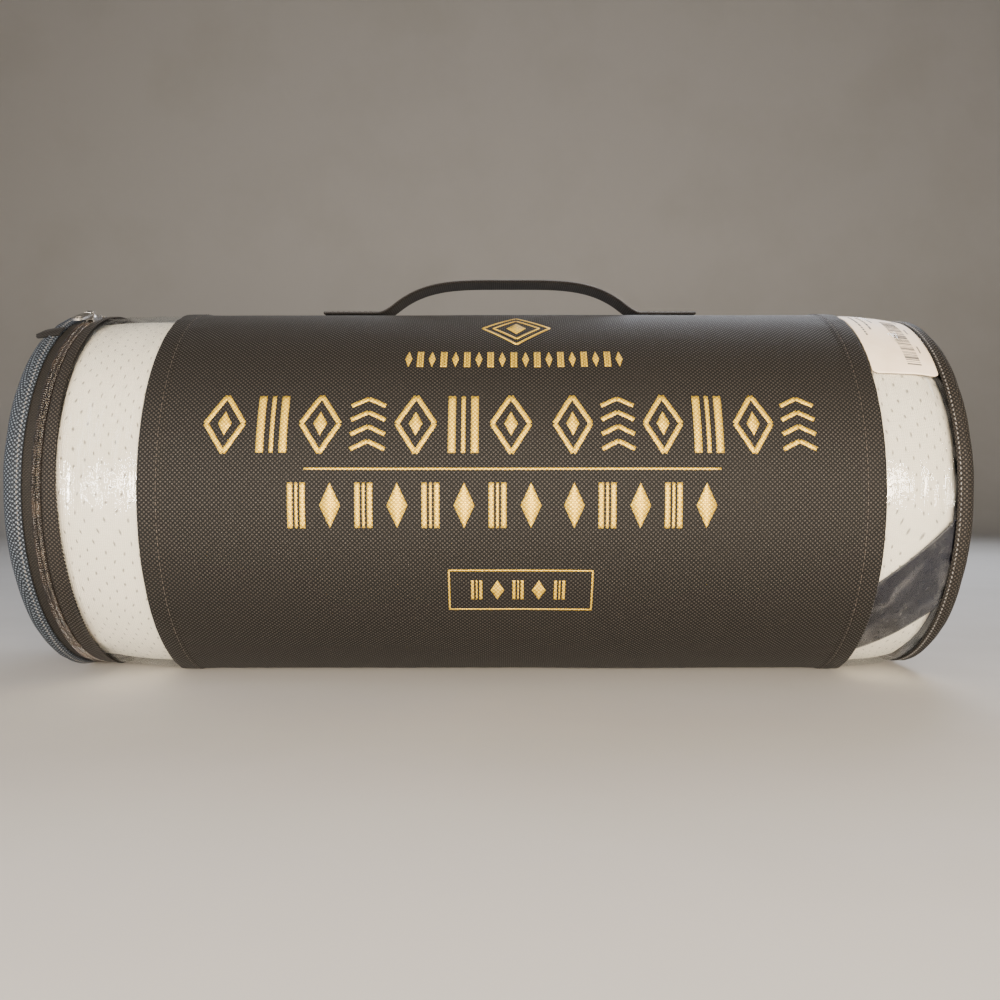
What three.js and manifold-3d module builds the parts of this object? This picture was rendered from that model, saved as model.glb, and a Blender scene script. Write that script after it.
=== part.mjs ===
// A rolled memory-foam pillow in its round carry bag, lying on its side.
// Millimetres. +X runs along the roll, +Z is up, and the front of the bag faces -Y.
// The origin is under the middle of the bag, on the surface that it lies on.
// Angles round the bag are in degrees: 0 is the front, 90 the top, 180 the back, -90 the underside.
import * as THREE from 'three';
import { mergeVertices } from 'three/addons/utils/BufferGeometryUtils.js';
import Module from 'manifold-3d';

// Bag
const bagRadius = 110;
const flatDepth = 4.5;            // how far the underside is pressed flat
const panelLength = 387.4;
const panelThickness = 0.9;
const hemWidth = 12;
const hemThickness = 1.6;
const filmThickness = 0.5;
const leftWindowWidth = 43.1;
const rightWindowWidth = 41;
const leftNarrowing = 2.6;        // how much less than bagRadius the left window's far edge is
const leftLift = 2;               // how far the left rim stands off the ground more than the middle
const rightNarrowing = 5.6;
const rightLift = 1;
const filmUnderHem = 11;
const bandOverFilm = 3.5;
const bandToCoil = 1.9;           // from the bag's coil to the band's foot
const gap = 0.3;                  // between pieces that lie on each other
const ease = 0.7;                 // between curved pieces whose facets don't line up
const edgeGap = 0.6;              // between the edges of pieces side by side round a rim
const lipInset = 0.1;             // of an end panel's lip from what it meets
const rimStep = 0.2;              // outwards or inwards at a rim, so that no two faces share a plane

// Zip round the left rim
const filmToZip = 10;             // from the film's edge to the zip's middle
const flapTapeWidth = 8;          // from the zip's middle
const tapeThickness = 0.6;
const coilWidth = 2.2;
const coilHeight = 1.4;
const coilSpacing = 1.6;          // between the two coils, where the slider's post runs
const hingeFrom = 80;             // the stretch of the rim without a zip
const hingeTo = 140;
const arcGap = 0.3;               // degrees between the hinge strip and its neighbours
const coilFromHinge = 3;          // degrees from the hinge strip to the coils at their start
const coilToHinge = 1;            // and at their finish
const stopLength = 1.6;           // degrees
const sliderAt = 70;
const sliderSpan = 6.4;
const sliderWidth = 8.6;
const sliderClearance = 0.6;
const plateThickness = 1;
const sliderLip = 0.7;
const postClearance = 0.35;       // to the coil on each side
const pullLength = 21;
const pullWidth = 7;
const pullThickness = 1.2;
const pinRadius = 0.6;
const pinClearance = 0.35;
const knuckleRadius = 1.4;
const knuckleWidth = 3;
const earWidth = 1;
const earHalfLength = 1.2;
const earClearance = 0.4;         // to the pull's knuckle
const earOverPin = 0.3;
const earSink = 0.5;              // into the slider's top plate
const pullShoulder = 4;           // over which the pull widens
const pullSlot = [1.3, 2.6];      // half its width and half its length
const tabRadius = 5;
const tabLength = 15;
const tabThickness = 1.1;
const tabAt = 56;
const tabOnTape = 1.6;            // how far the tab reaches over the flap's tape

// Ends
const zipToEnd = 22.5;            // from the zip's middle to the left end
const rightEndDepth = 11;         // from the right film's edge to the right end
const endThickness = 1;
const bindingThickness = 1.1;
const bindingWidth = 6;
const bindingOverFilm = 0.4;      // share of the right binding's width that lies on the film
const bindingOverEnd = 0.65;      // share of the left binding's width that lies on the end panel
const bindingFlare = 1.1;         // over the left end panel's bulge
const bindingBevel = 0.4;
const filmFlare = 0.5;            // of the right binding over the film
const endFlare = 0.6;             // and over the end panel

// Handle
const handleReach = 70;           // half the strap's free length along the bag
const handleRise = 14;
const handleWidth = 26;
const strapThickness = 2;
const swayAngle = 20;
const swayClearance = 0.6;        // between the strap at its limit and the panel
const anchorLength = 38;
const anchorThickness = 1.8;
const anchorBevel = 1;

// Pillow
const pillowInset = 4;            // from the bag's outside to the pillow
const slabThickness = 52;         // at the start of the outer turn
const tailThickness = 14;         // at the pillow's outer edge
const coreRadius = 14;
const turnGap = 0.6;
const coverThickness = 1.2;
const linerThickness = 0.7;
const pillowEndInset = 11.5;      // from the bag's ends to the pillow's
const endTaper = 31;
const endScale = 0.76;
const endRounding = 1.5;
const tailAt = 200;
const pillowZipLength = 340;
const pillowZipMiddle = 10;
const mouthShort = 4;             // how much less the covers' slits reach than the zip, at each end
const coverMouth = 1.5;           // half the width of the cover's slit
const linerMouth = 1;
const coverCoilWidth = 5;
const coverCoilHeight = 1.2;
const coverTapeWidth = 9;
const coverTapeThickness = 0.8;
const coverSliderLength = 11;
const coverSliderLip = 0.9;
const coverSliderClearance = 0.4;
const coverPullWidth = 4;
const coverPullThickness = 0.8;
const coverPullInset = 3;         // from the slider's end to the pull's
const labelFromZip = 3;

// Label, sticker and card
const stickerLength = 35;
const stickerFrom = 40;
const stickerTo = 76;
const paperThickness = 0.3;
const cardLength = 110;
const cardWidth = 42;
const cardThickness = 0.4;
const cardTurn = 42;
const cardFromHem = 8;            // from the card's middle to the panel's edge
const cardFromRim = 1.5;
const cardAt = -45;
const labelLength = 20;
const labelWidth = 8;
const labelThickness = 0.4;

// Facets
const facets = 48;                // round the bag
const rollFacets = 24;            // round each turn of the pillow

// Places along the bag that follow from the sizes above
const leftSpan = leftWindowWidth + filmToZip + zipToEnd;
const rightSpan = rightWindowWidth + rightEndDepth;
const panelMiddle = (leftSpan - rightSpan) / 2;
const panelLeft = panelMiddle - panelLength / 2;
const panelRight = panelMiddle + panelLength / 2;
const filmLeft = panelLeft - leftWindowWidth;
const filmRight = panelRight + rightWindowWidth;
const zipMiddle = filmLeft - filmToZip;
const leftEnd = zipMiddle - zipToEnd;
const rightEnd = filmRight + rightEndDepth;
const axisHeight = bagRadius - flatDepth;
const rimHeight = axisHeight + leftLift;

// Radii of the left rim, from the film outwards
const filmDepth = hemThickness + gap;
const filmEdgeRadius = bagRadius - leftNarrowing - filmDepth;
const tapeOuter = filmEdgeRadius - filmThickness - rimStep;
const tapeInner = tapeOuter - tapeThickness;
const coilInner = tapeOuter + ease;
const coilOuter = coilInner + coilHeight;
const coilNear = zipMiddle + coilSpacing / 2;
const coilFar = zipMiddle - coilSpacing / 2;
const topPlate = coilOuter + sliderClearance;
const bottomPlate = tapeInner - sliderClearance;
const pinHeight = topPlate + plateThickness + knuckleRadius + gap;

const wasm = await Module();
wasm.setup();
const toRadians = THREE.MathUtils.degToRad;

// ---------- Helpers ----------

// A solid from corners and triangles, turned so that its faces point outwards.
function solidGeometry(corners, triangles) {
  const volume = triangles.reduce((sum, [a, b, c]) => (
    sum + corners[a].dot(new THREE.Vector3().crossVectors(corners[b], corners[c]))
  ), 0);
  const turned = volume < 0 ? triangles.map(([a, b, c]) => [a, c, b]) : triangles;
  const geometry = new THREE.BufferGeometry();
  geometry.setFromPoints(corners);
  geometry.setIndex(turned.flat());
  return geometry;
}

// Joins closed loops of equal length into a solid; the last meets the first when it goes all round.
function loftLoops(loops, outline, allRound) {
  const size = loops[0].length;
  const corners = loops.flat();
  const triangles = [];
  const spans = allRound ? loops.length : loops.length - 1;
  for (let i = 0; i < spans; i += 1) {
    const here = i * size;
    const next = ((i + 1) % loops.length) * size;
    for (let j = 0; j < size; j += 1) {
      const k = (j + 1) % size;
      triangles.push([here + j, here + k, next + k], [here + j, next + k, next + j]);
    }
  }
  if (!allRound) {
    const faces = THREE.ShapeUtils.triangulateShape(outline, []);
    const last = (loops.length - 1) * size;
    const clockwise = THREE.ShapeUtils.area(outline) < 0;
    for (const [a, b, c] of faces) {
      const [p, q] = clockwise ? [c, b] : [b, c];
      triangles.push([a, q, p], [last + a, last + p, last + q]);
    }
  }
  return solidGeometry(corners, triangles);
}

// Carries a section of [x, value] corners round the bag from one angle to another.
function sweepRound(section, place, from = 0, to = 360) {
  const allRound = to - from >= 360;
  const count = Math.max(2, Math.round(((to - from) * facets) / 360));
  const stops = allRound ? count : count + 1;
  const loops = [];
  for (let i = 0; i < stops; i += 1) {
    const angle = toRadians(from + ((to - from) * i) / count);
    loops.push(section.map(([x, value]) => place(x, value, angle)));
  }
  const outline = section.map(([x, value]) => new THREE.Vector2(x, value));
  return loftLoops(loops, outline, allRound);
}

// 0 at the panel's edge and 1 at the far edge of the film on that side.
function windowShare(x) {
  if (x < panelLeft) return Math.min(1, (panelLeft - x) / leftWindowWidth);
  if (x > panelRight) return Math.min(1, (x - panelRight) / rightWindowWidth);
  return 0;
}

// The bag narrows and lifts a little towards both ends.
function bagSection(x) {
  const share = windowShare(x) ** 2;
  const narrowing = x < 0 ? leftNarrowing : rightNarrowing;
  const lift = x < 0 ? leftLift : rightLift;
  return { radius: bagRadius - narrowing * share, height: axisHeight + lift * share };
}

// A point at a depth under the bag's outside, which is flat underneath.
function bagPoint(x, depth, angle) {
  const { radius, height } = bagSection(x);
  const down = -Math.sin(angle);
  const toGround = down > 0 ? (height - depth) / down : Infinity;
  const reach = Math.min(radius - depth, toGround);
  return new THREE.Vector3(x, -reach * Math.cos(angle), height + reach * Math.sin(angle));
}

// A point at a radius from the left rim's axis.
function rimPoint(x, radius, angle) {
  return new THREE.Vector3(x, -radius * Math.cos(angle), rimHeight + radius * Math.sin(angle));
}

// A point at a radius from the right rim's axis.
function rightRimPoint(x, radius, angle) {
  const height = axisHeight + rightLift;
  return new THREE.Vector3(x, -radius * Math.cos(angle), height + radius * Math.sin(angle));
}

// A block between two corners.
function block(low, high) {
  const size = high.map((value, i) => value - low[i]);
  const geometry = new THREE.BoxGeometry(...size);
  geometry.translate(...low.map((value, i) => value + size[i] / 2));
  return geometry;
}

// Turns a shape made at the origin, with Y along the rim and Z outwards, to its place on the left rim.
function ontoRim(geometry, x, radius, degrees) {
  const angle = toRadians(degrees);
  const along = new THREE.Vector3(0, Math.sin(angle), Math.cos(angle));
  const outward = new THREE.Vector3(0, -Math.cos(angle), Math.sin(angle));
  const matrix = new THREE.Matrix4();
  matrix.makeBasis(new THREE.Vector3(1, 0, 0), along, outward);
  matrix.setPosition(rimPoint(x, radius, angle));
  return geometry.clone().applyMatrix4(matrix);
}

function toSolid(geometry) {
  const bare = geometry.clone();
  bare.deleteAttribute('normal');
  bare.deleteAttribute('uv');
  const merged = mergeVertices(bare, 1e-4);
  return new wasm.Manifold(new wasm.Mesh({
    numProp: 3,
    vertProperties: new Float32Array(merged.attributes.position.array),
    triVerts: new Uint32Array(merged.index.array),
  }));
}

function toGeometry(solid) {
  const mesh = solid.getMesh();
  const geometry = new THREE.BufferGeometry();
  geometry.setAttribute('position', new THREE.BufferAttribute(mesh.vertProperties, mesh.numProp));
  geometry.setIndex(new THREE.BufferAttribute(mesh.triVerts, 1));
  return geometry;
}

const model = new THREE.Group();

function addPiece(name, geometry, color, roughness, metalness = 0) {
  geometry.computeVertexNormals();
  const material = new THREE.MeshStandardMaterial({ color, roughness, metalness });
  const mesh = new THREE.Mesh(geometry, material);
  mesh.name = name;
  model.add(mesh);
}

const nonWovenBlack = 0x1c1a19;
const endFabric = 0x2b343c;
const clearFilm = 0xe8ecee;
const zipBlack = 0x17171a;
const sliderMetal = 0xb9bbbd;
const knitWhite = 0xe6e0d4;

// ---------- Bag ----------

// The sleeve round the middle, twice as thick where its edges are folded into a hem.
function makePanel() {
  const section = [
    [panelLeft, 0],
    [panelRight, 0],
    [panelRight, hemThickness],
    [panelRight - hemWidth, hemThickness],
    [panelRight - hemWidth, panelThickness],
    [panelLeft + hemWidth, panelThickness],
    [panelLeft + hemWidth, hemThickness],
    [panelLeft, hemThickness],
  ];
  addPiece('centre_panel', sweepRound(section, bagPoint), nonWovenBlack, 0.8);
}

// Where the film bends between the hem and its far edge.
function filmStops(hemEdge, farEdge) {
  return [0, 1 / 3, 2 / 3, 1].map((share) => hemEdge + (farEdge - hemEdge) * share);
}

// A section of one thickness under a depth, through a row of stops along the bag.
function layerSection(stops, depth, thickness) {
  const outside = stops.map((x) => [x, depth]);
  const inside = stops.map((x) => [x, depth + thickness]).reverse();
  return [...outside, ...inside];
}

// A band of clear film, tucked under the hem on one side.
function makeWindow(name, hemEdge, farEdge) {
  const tuck = hemEdge - Math.sign(farEdge - hemEdge) * filmUnderHem;
  const stops = [tuck, ...filmStops(hemEdge, farEdge)];
  addPiece(name, sweepRound(layerSection(stops, filmDepth, filmThickness), bagPoint), clearFilm, 0.08);
}

// The strip that joins the left window to the zip.
function makeZipBand() {
  const wide = filmLeft + bandOverFilm;
  const narrow = coilNear + coilWidth + bandToCoil;
  const wideInside = filmDepth - ease;
  const narrowInside = bagRadius - leftNarrowing - tapeOuter - ease;
  const section = [
    [wide, wideInside],
    [wide, wideInside - panelThickness],
    [filmLeft, wideInside - panelThickness],
    [narrow, narrowInside - panelThickness],
    [narrow, narrowInside],
    [filmLeft, wideInside],
  ];
  addPiece('zip_band', sweepRound(section, bagPoint), nonWovenBlack, 0.85);
}

// ---------- Zip ----------

function tapeSection(from, to) {
  return [[from, tapeInner], [to, tapeInner], [to, tapeOuter], [from, tapeOuter]];
}

function coilSection(from, to) {
  const shoulder = coilWidth / 4;
  return [
    [from, coilInner],
    [to, coilInner],
    [to, coilOuter - shoulder],
    [to - shoulder, coilOuter],
    [from + shoulder, coilOuter],
    [from, coilOuter - shoulder],
  ];
}

const tapeEdge = filmLeft - edgeGap;
const flapTapeEdge = zipMiddle - flapTapeWidth;
const zipStart = hingeFrom - coilFromHinge;
const zipFinish = hingeTo - 360 + coilToHinge;

function makeZip() {
  const bagTape = tapeSection(coilNear, tapeEdge);
  const zipArcEnd = hingeFrom - arcGap;
  addPiece('zip_tape_bag', sweepRound(bagTape, rimPoint, hingeTo - 360, zipArcEnd), zipBlack, 0.85);
  addPiece('zip_tape_flap', sweepRound(tapeSection(flapTapeEdge, coilFar), rimPoint), zipBlack, 0.85);
  const bagCoil = coilSection(coilNear, coilNear + coilWidth);
  const flapCoil = coilSection(coilFar - coilWidth, coilFar);
  addPiece('zip_coil_bag', sweepRound(bagCoil, rimPoint, zipFinish, zipStart), zipBlack, 0.45);
  addPiece('zip_coil_flap', sweepRound(flapCoil, rimPoint, zipFinish, zipStart), zipBlack, 0.45);
  const stop = [
    [coilNear, coilInner],
    [coilNear + coilWidth, coilInner],
    [coilNear + coilWidth, coilOuter + rimStep],
    [coilNear, coilOuter + rimStep],
  ];
  const topFrom = zipStart + arcGap;
  const bottomTo = zipFinish - arcGap;
  addPiece('zip_top_stop', sweepRound(stop, rimPoint, topFrom, topFrom + stopLength), sliderMetal, 0.35, 1);
  addPiece('zip_bottom_stop', sweepRound(stop, rimPoint, bottomTo - stopLength / 2, bottomTo),
    sliderMetal, 0.35, 1);
}

// The stretch of the rim where the end flap folds: it stops short of the flap.
function makeHingeGusset() {
  const section = tapeSection(coilNear, tapeEdge);
  addPiece('hinge_gusset', sweepRound(section, rimPoint, hingeFrom, hingeTo - arcGap), nonWovenBlack, 0.85);
}

// Two plates joined by a post between the coils, with a lip over the bag's tape, and open to the flap.
function makeSlider() {
  const near = zipMiddle + sliderWidth / 2;
  const far = zipMiddle - sliderWidth / 2;
  const post = coilSpacing / 2 - postClearance;
  const lipEnd = tapeOuter + sliderClearance;
  const section = [
    [far, bottomPlate - plateThickness],
    [near, bottomPlate - plateThickness],
    [near, bottomPlate],
    [zipMiddle + post, bottomPlate],
    [zipMiddle + post, topPlate],
    [near - sliderLip, topPlate],
    [near - sliderLip, lipEnd],
    [near, lipEnd],
    [near, topPlate + plateThickness],
    [far, topPlate + plateThickness],
    [far, topPlate],
    [zipMiddle - post, topPlate],
    [zipMiddle - post, bottomPlate],
    [far, bottomPlate],
  ];
  const from = sliderAt - sliderSpan / 2;
  const body = toSolid(sweepRound(section, rimPoint, from, from + sliderSpan));
  const earReach = knuckleWidth / 2 + earClearance;
  const top = topPlate + plateThickness;
  const earTop = pinHeight + pinRadius + earOverPin - top;
  const ear = (side) => block(
    [side * earReach + Math.min(side, 0) * earWidth, -earHalfLength, -earSink],
    [side * earReach + Math.max(side, 0) * earWidth, earHalfLength, earTop],
  );
  const pin = new THREE.CylinderGeometry(pinRadius, pinRadius, 2 * earReach + earWidth, 12);
  pin.rotateZ(Math.PI / 2);
  pin.translate(0, 0, pinHeight - top);
  const onSlider = (shape) => toSolid(ontoRim(shape, zipMiddle, top, sliderAt));
  const whole = [ear(-1), ear(1), pin].reduce((sum, shape) => sum.add(onSlider(shape)), body);
  addPiece('zip_slider', toGeometry(whole), sliderMetal, 0.3, 1);
}

// The pull lies forwards along the rim and turns on the slider's pin.
function makePull() {
  const knuckle = new THREE.CylinderGeometry(knuckleRadius, knuckleRadius, knuckleWidth, 12);
  knuckle.rotateZ(Math.PI / 2);
  const outline = new THREE.Shape();
  const half = pullWidth / 2;
  outline.moveTo(-knuckleWidth / 2, -knuckleRadius);
  outline.lineTo(-half, -knuckleRadius - pullShoulder);
  outline.lineTo(-half, -pullLength + half);
  outline.absarc(0, -pullLength + half, half, Math.PI, 2 * Math.PI, false);
  outline.lineTo(half, -knuckleRadius - pullShoulder);
  outline.lineTo(knuckleWidth / 2, -knuckleRadius);
  outline.lineTo(knuckleWidth / 2, -pinRadius - pinClearance);
  outline.lineTo(-knuckleWidth / 2, -pinRadius - pinClearance);
  const slot = new THREE.Path();
  slot.absellipse(0, -pullLength + half + 1, ...pullSlot, 0, 2 * Math.PI, true);
  outline.holes.push(slot);
  const plate = new THREE.ExtrudeGeometry(outline, {
    depth: pullThickness, bevelEnabled: false, curveSegments: 8,
  });
  plate.translate(0, 0, -pullThickness / 2);
  const boreRadius = pinRadius + pinClearance;
  const bore = new THREE.CylinderGeometry(boreRadius, boreRadius, 2 * knuckleWidth, 16);
  bore.rotateZ(Math.PI / 2);
  const onPin = (shape) => toSolid(ontoRim(shape, zipMiddle, pinHeight, sliderAt));
  const pull = onPin(knuckle).add(onPin(plate)).subtract(onPin(bore));
  addPiece('zip_pull', toGeometry(pull), sliderMetal, 0.3, 1);
}

// A folded tab of fabric on the flap, at the start of the zip, with a round end.
function makeEndTab() {
  const outline = new THREE.Shape();
  outline.moveTo(0, tabRadius);
  outline.lineTo(tabRadius - tabLength, tabRadius);
  outline.absarc(tabRadius - tabLength, 0, tabRadius, Math.PI / 2, (3 * Math.PI) / 2, false);
  outline.lineTo(0, -tabRadius);
  const tab = new THREE.ExtrudeGeometry(outline, {
    depth: tabThickness, bevelEnabled: false, curveSegments: 8,
  });
  const seat = leftBindingOuter + bindingFlare + ease;
  addPiece('zip_end_tab', ontoRim(tab, flapTapeEdge + tabOnTape, seat, tabAt), nonWovenBlack, 0.85);
}

// ---------- Ends ----------

const leftLip = flapTapeEdge - edgeGap;
const leftBindingInner = tapeOuter + gap;
const leftBindingOuter = leftBindingInner + bindingThickness;

// A cup: a lip at the rim, a rounded edge and a slightly domed face, closed on the axis.
// The profile's corners are [distance outwards from the lip, radius].
function makeCup(name, lipX, outwards, profile, place) {
  const outside = profile.map(([out, radius]) => [out, radius]);
  const inside = profile.map(([out, radius], i) => {
    const share = i / (profile.length - 1);
    const back = endThickness * Math.sin((share * Math.PI) / 2);
    const thin = endThickness * Math.cos((share * Math.PI) / 2);
    return [Math.max(0, out - back), Math.max(0, radius - thin)];
  });
  const ring = [...outside, ...inside.reverse()];
  const corners = [];
  const triangles = [];
  const onAxis = ([, radius]) => radius === 0;
  const starts = ring.map((corner) => {
    const start = corners.length;
    const count = onAxis(corner) ? 1 : facets;
    for (let i = 0; i < count; i += 1) {
      corners.push(place(lipX + outwards * corner[0], corner[1], (2 * Math.PI * i) / facets));
    }
    return start;
  });
  ring.forEach((corner, j) => {
    const k = (j + 1) % ring.length;
    const other = ring[k];
    for (let i = 0; i < facets; i += 1) {
      const next = (i + 1) % facets;
      const a = starts[j] + (onAxis(corner) ? 0 : i);
      const b = starts[j] + (onAxis(corner) ? 0 : next);
      const c = starts[k] + (onAxis(other) ? 0 : next);
      const d = starts[k] + (onAxis(other) ? 0 : i);
      if (!onAxis(corner)) triangles.push([a, b, onAxis(other) ? c : d]);
      if (!onAxis(other)) triangles.push([b, c, d]);
    }
  });
  addPiece(name, solidGeometry(corners, triangles), endFabric, 0.85);
}

function makeLeftEnd() {
  const lip = tapeOuter - lipInset;
  const depth = leftLip - leftEnd;
  const profile = [
    [0, lip],
    [depth * 0.28, lip + 1.2],
    [depth * 0.5, lip + 0.8],
    [depth * 0.68, lip - 1.2],
    [depth * 0.8, lip - 5],
    [depth * 0.9, lip - 18],
    [depth * 0.97, lip * 0.45],
    [depth, 0],
  ];
  makeCup('left_end_panel', leftLip, -1, profile, rimPoint);
  const from = leftLip - bindingWidth * bindingOverEnd;
  const to = from + bindingWidth;
  const section = [
    [from, leftBindingInner + bindingFlare],
    [leftLip, leftBindingInner],
    [to, leftBindingInner],
    [to, leftBindingOuter - bindingBevel],
    [leftLip, leftBindingOuter],
    [from, leftBindingOuter + bindingFlare],
  ];
  addPiece('left_end_binding', sweepRound(section, rimPoint), nonWovenBlack, 0.85);
}

function makeRightEnd() {
  const filmEdge = bagRadius - rightNarrowing - filmDepth;
  const lipX = filmRight + edgeGap;
  const lip = filmEdge - lipInset;
  const depth = rightEnd - lipX;
  const profile = [
    [0, lip],
    [depth * 0.3, lip + 0.7],
    [depth * 0.55, lip - 0.3],
    [depth * 0.72, lip - 3],
    [depth * 0.84, lip - 12],
    [depth * 0.95, lip * 0.5],
    [depth, 0],
  ];
  makeCup('right_end_panel', lipX, 1, profile, rightRimPoint);
  const inner = filmEdge + gap + rimStep;
  const from = filmRight - bindingWidth * bindingOverFilm;
  const to = lipX + bindingWidth / 2;
  const section = [
    [from, inner + filmFlare],
    [lipX, inner],
    [to, inner + endFlare],
    [to, inner + endFlare + bindingThickness],
    [lipX, inner + bindingThickness],
    [from, inner + filmFlare + bindingThickness],
  ];
  addPiece('right_end_binding', sweepRound(section, rightRimPoint), nonWovenBlack, 0.85);
}

// ---------- Handle ----------

// The strap's foot is high enough for the strap to sway without reaching the panel.
const panelTop = axisHeight + bagRadius;
const footHeight = panelTop + (handleWidth / 2) * Math.sin(toRadians(swayAngle))
  + strapThickness / 2 + swayClearance;

function archHeight(share) {
  return footHeight + handleRise * (1 - share ** 4);
}

// A flat outline in the XZ plane, given the strap's width.
function strapSolid(outline) {
  const strap = new THREE.ExtrudeGeometry(outline, { depth: handleWidth, bevelEnabled: false });
  strap.rotateX(Math.PI / 2);
  strap.translate(0, handleWidth / 2, 0);
  return strap;
}

function makeHandle() {
  const steps = 16;
  const upper = [];
  const lower = [];
  for (let i = 0; i <= steps; i += 1) {
    const share = -1 + (2 * i) / steps;
    const x = panelMiddle + share * handleReach;
    upper.push(new THREE.Vector2(x, archHeight(share) + strapThickness / 2));
    lower.push(new THREE.Vector2(x, archHeight(share) - strapThickness / 2));
  }
  const outline = new THREE.Shape([...upper, ...lower.reverse()]);
  addPiece('handle_strap', strapSolid(outline), nonWovenBlack, 0.75);
  for (const [name, side] of [['handle_anchor_left', -1], ['handle_anchor_right', 1]]) {
    const at = (reach, height) => new THREE.Vector2(panelMiddle + side * reach, height);
    const rise = footHeight - panelTop - gap;
    const foot = handleReach + gap;
    const patch = foot + rise;
    const anchor = new THREE.Shape([
      at(foot, footHeight - strapThickness / 2),
      at(patch, panelTop + gap),
      at(patch + anchorLength, panelTop + gap),
      at(patch + anchorLength, panelTop + gap + anchorThickness),
      at(patch + anchorBevel, panelTop + gap + anchorThickness),
      at(foot, footHeight + strapThickness / 2),
    ]);
    addPiece(name, strapSolid(anchor), nonWovenBlack, 0.75);
  }
}

// ---------- Paper ----------

function makeSticker() {
  const to = filmRight - bindingWidth * bindingOverFilm - ease;
  const from = to - stickerLength;
  const bends = filmStops(panelRight, filmRight).filter((x) => x > from && x < to);
  const section = layerSection([from, ...bends, to], filmDepth - ease - paperThickness, paperThickness);
  addPiece('price_sticker', sweepRound(section, bagPoint, stickerFrom, stickerTo), 0xe9e6e0, 0.5);
}

// A sheet that lies slantwise on the pillow, half of it behind the right window.
function makeCard() {
  const middleX = panelRight - cardFromHem;
  const turn = toRadians(cardTurn);
  const top = filmDepth + filmThickness + ease;
  const depths = [top, top + cardThickness];
  const across = 8;
  const along = 14;
  const spread = (i, j, depth) => {
    const v = (j / across - 0.5) * cardWidth;
    const from = middleX - (cardLength / 2) * Math.cos(turn) - v * Math.sin(turn);
    const x = from + (filmRight - cardFromRim - from) * (i / along);
    const arc = (x - middleX) * Math.tan(turn) + v / Math.cos(turn);
    return bagPoint(x, depth, toRadians(cardAt) + arc / bagRadius);
  };
  const loops = [];
  for (let i = 0; i <= along; i += 1) {
    const loop = [];
    for (let j = 0; j <= across; j += 1) loop.push(spread(i, j, depths[0]));
    for (let j = across; j >= 0; j -= 1) loop.push(spread(i, j, depths[1]));
    loops.push(loop);
  }
  const outline = loops[0].map((_, i) => {
    const over = i <= across;
    return new THREE.Vector2(over ? i : 2 * across + 1 - i, over ? 0 : 1);
  });
  addPiece('insert_card', loftLoops(loops, outline, false), 0x1b1e30, 0.5);
}

// ---------- Pillow ----------

const pillowRadius = bagRadius - pillowInset;
const pillowLeft = leftEnd + pillowEndInset;
const pillowRight = rightEnd - pillowEndInset;

// The rolled slab's outline, drawn in by an inset: its outer side over two turns, then its inner side.
// Each corner is [angle, radius] in a roll that is round, and each turn lies on the one inside it.
function rollOutline(inset) {
  const turn = 2 * Math.PI;
  const tail = toRadians(tailAt);
  const innerSide = (wound) => coreRadius
    + ((pillowRadius - slabThickness - coreRadius) / turn) * Math.min(wound, turn)
    + ((slabThickness - tailThickness) / turn) * Math.max(0, wound - turn);
  const outerSide = (wound) => (wound > turn ? pillowRadius : innerSide(wound + turn) - turnGap);
  const outside = [];
  const inside = [];
  const steps = 2 * rollFacets;
  for (let i = 0; i <= steps; i += 1) {
    const start = i === 0 ? inset / coreRadius : 0;
    const finish = i === steps ? inset / pillowRadius : 0;
    const wound = (i / steps) * 2 * turn + start - finish;
    outside.push([tail + wound, outerSide(wound) - inset]);
    inside.push([tail + wound, innerSide(wound) + inset]);
  }
  return [...outside, ...inside.reverse()];
}

// Puts the round roll into the bag: it narrows at its ends and is flat underneath, as the bag is.
function rollPoint(x, angle, radius) {
  const { radius: around, height } = bagSection(x);
  const down = -Math.sin(angle);
  const fromEnd = Math.min(x - pillowLeft, pillowRight - x);
  const middle = Math.min(1, fromEnd / endTaper);
  const narrowing = 1 - (1 - endScale) * (1 - middle) ** endRounding;
  const toGround = down > 0 ? (height - pillowInset) / down : Infinity;
  const reach = Math.min(around - pillowInset, toGround) * narrowing * (radius / pillowRadius);
  return new THREE.Vector3(x, -reach * Math.cos(angle), height + reach * Math.sin(angle));
}

function rollSolid(inset) {
  const outline = rollOutline(inset);
  const flat = outline.map(([angle, radius]) => (
    new THREE.Vector2(-radius * Math.cos(angle), radius * Math.sin(angle))
  ));
  const left = pillowLeft + inset;
  const right = pillowRight - inset;
  const stops = [left, pillowLeft + endTaper / 2, pillowLeft + endTaper,
    pillowRight - endTaper, pillowRight - endTaper / 2, right];
  const loops = stops.map((x) => outline.map(([angle, radius]) => rollPoint(x, angle, radius)));
  return toSolid(loftLoops(loops, flat, false));
}

// Turns a shape made with Y away from the pillow's outer edge and Z outwards to its place in the groove.
function intoGroove(geometry) {
  const angle = toRadians(tailAt);
  const away = new THREE.Vector3(0, Math.sin(angle), Math.cos(angle));
  const outward = new THREE.Vector3(0, -Math.cos(angle), Math.sin(angle));
  const matrix = new THREE.Matrix4().makeBasis(new THREE.Vector3(1, 0, 0), away, outward);
  matrix.setPosition(0, 0, axisHeight);
  return geometry.clone().applyMatrix4(matrix);
}

// A block in the groove, from x to x along the bag, away from the edge, and between two radii.
function grooveBlock(xs, away, radii) {
  return intoGroove(block([xs[0], away[0], radii[0]], [xs[1], away[1], radii[1]]));
}

const zipLeft = pillowZipMiddle - pillowZipLength / 2;
const zipRight = pillowZipMiddle + pillowZipLength / 2;
const grooveMiddle = pillowRadius - tailThickness / 2;

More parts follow.
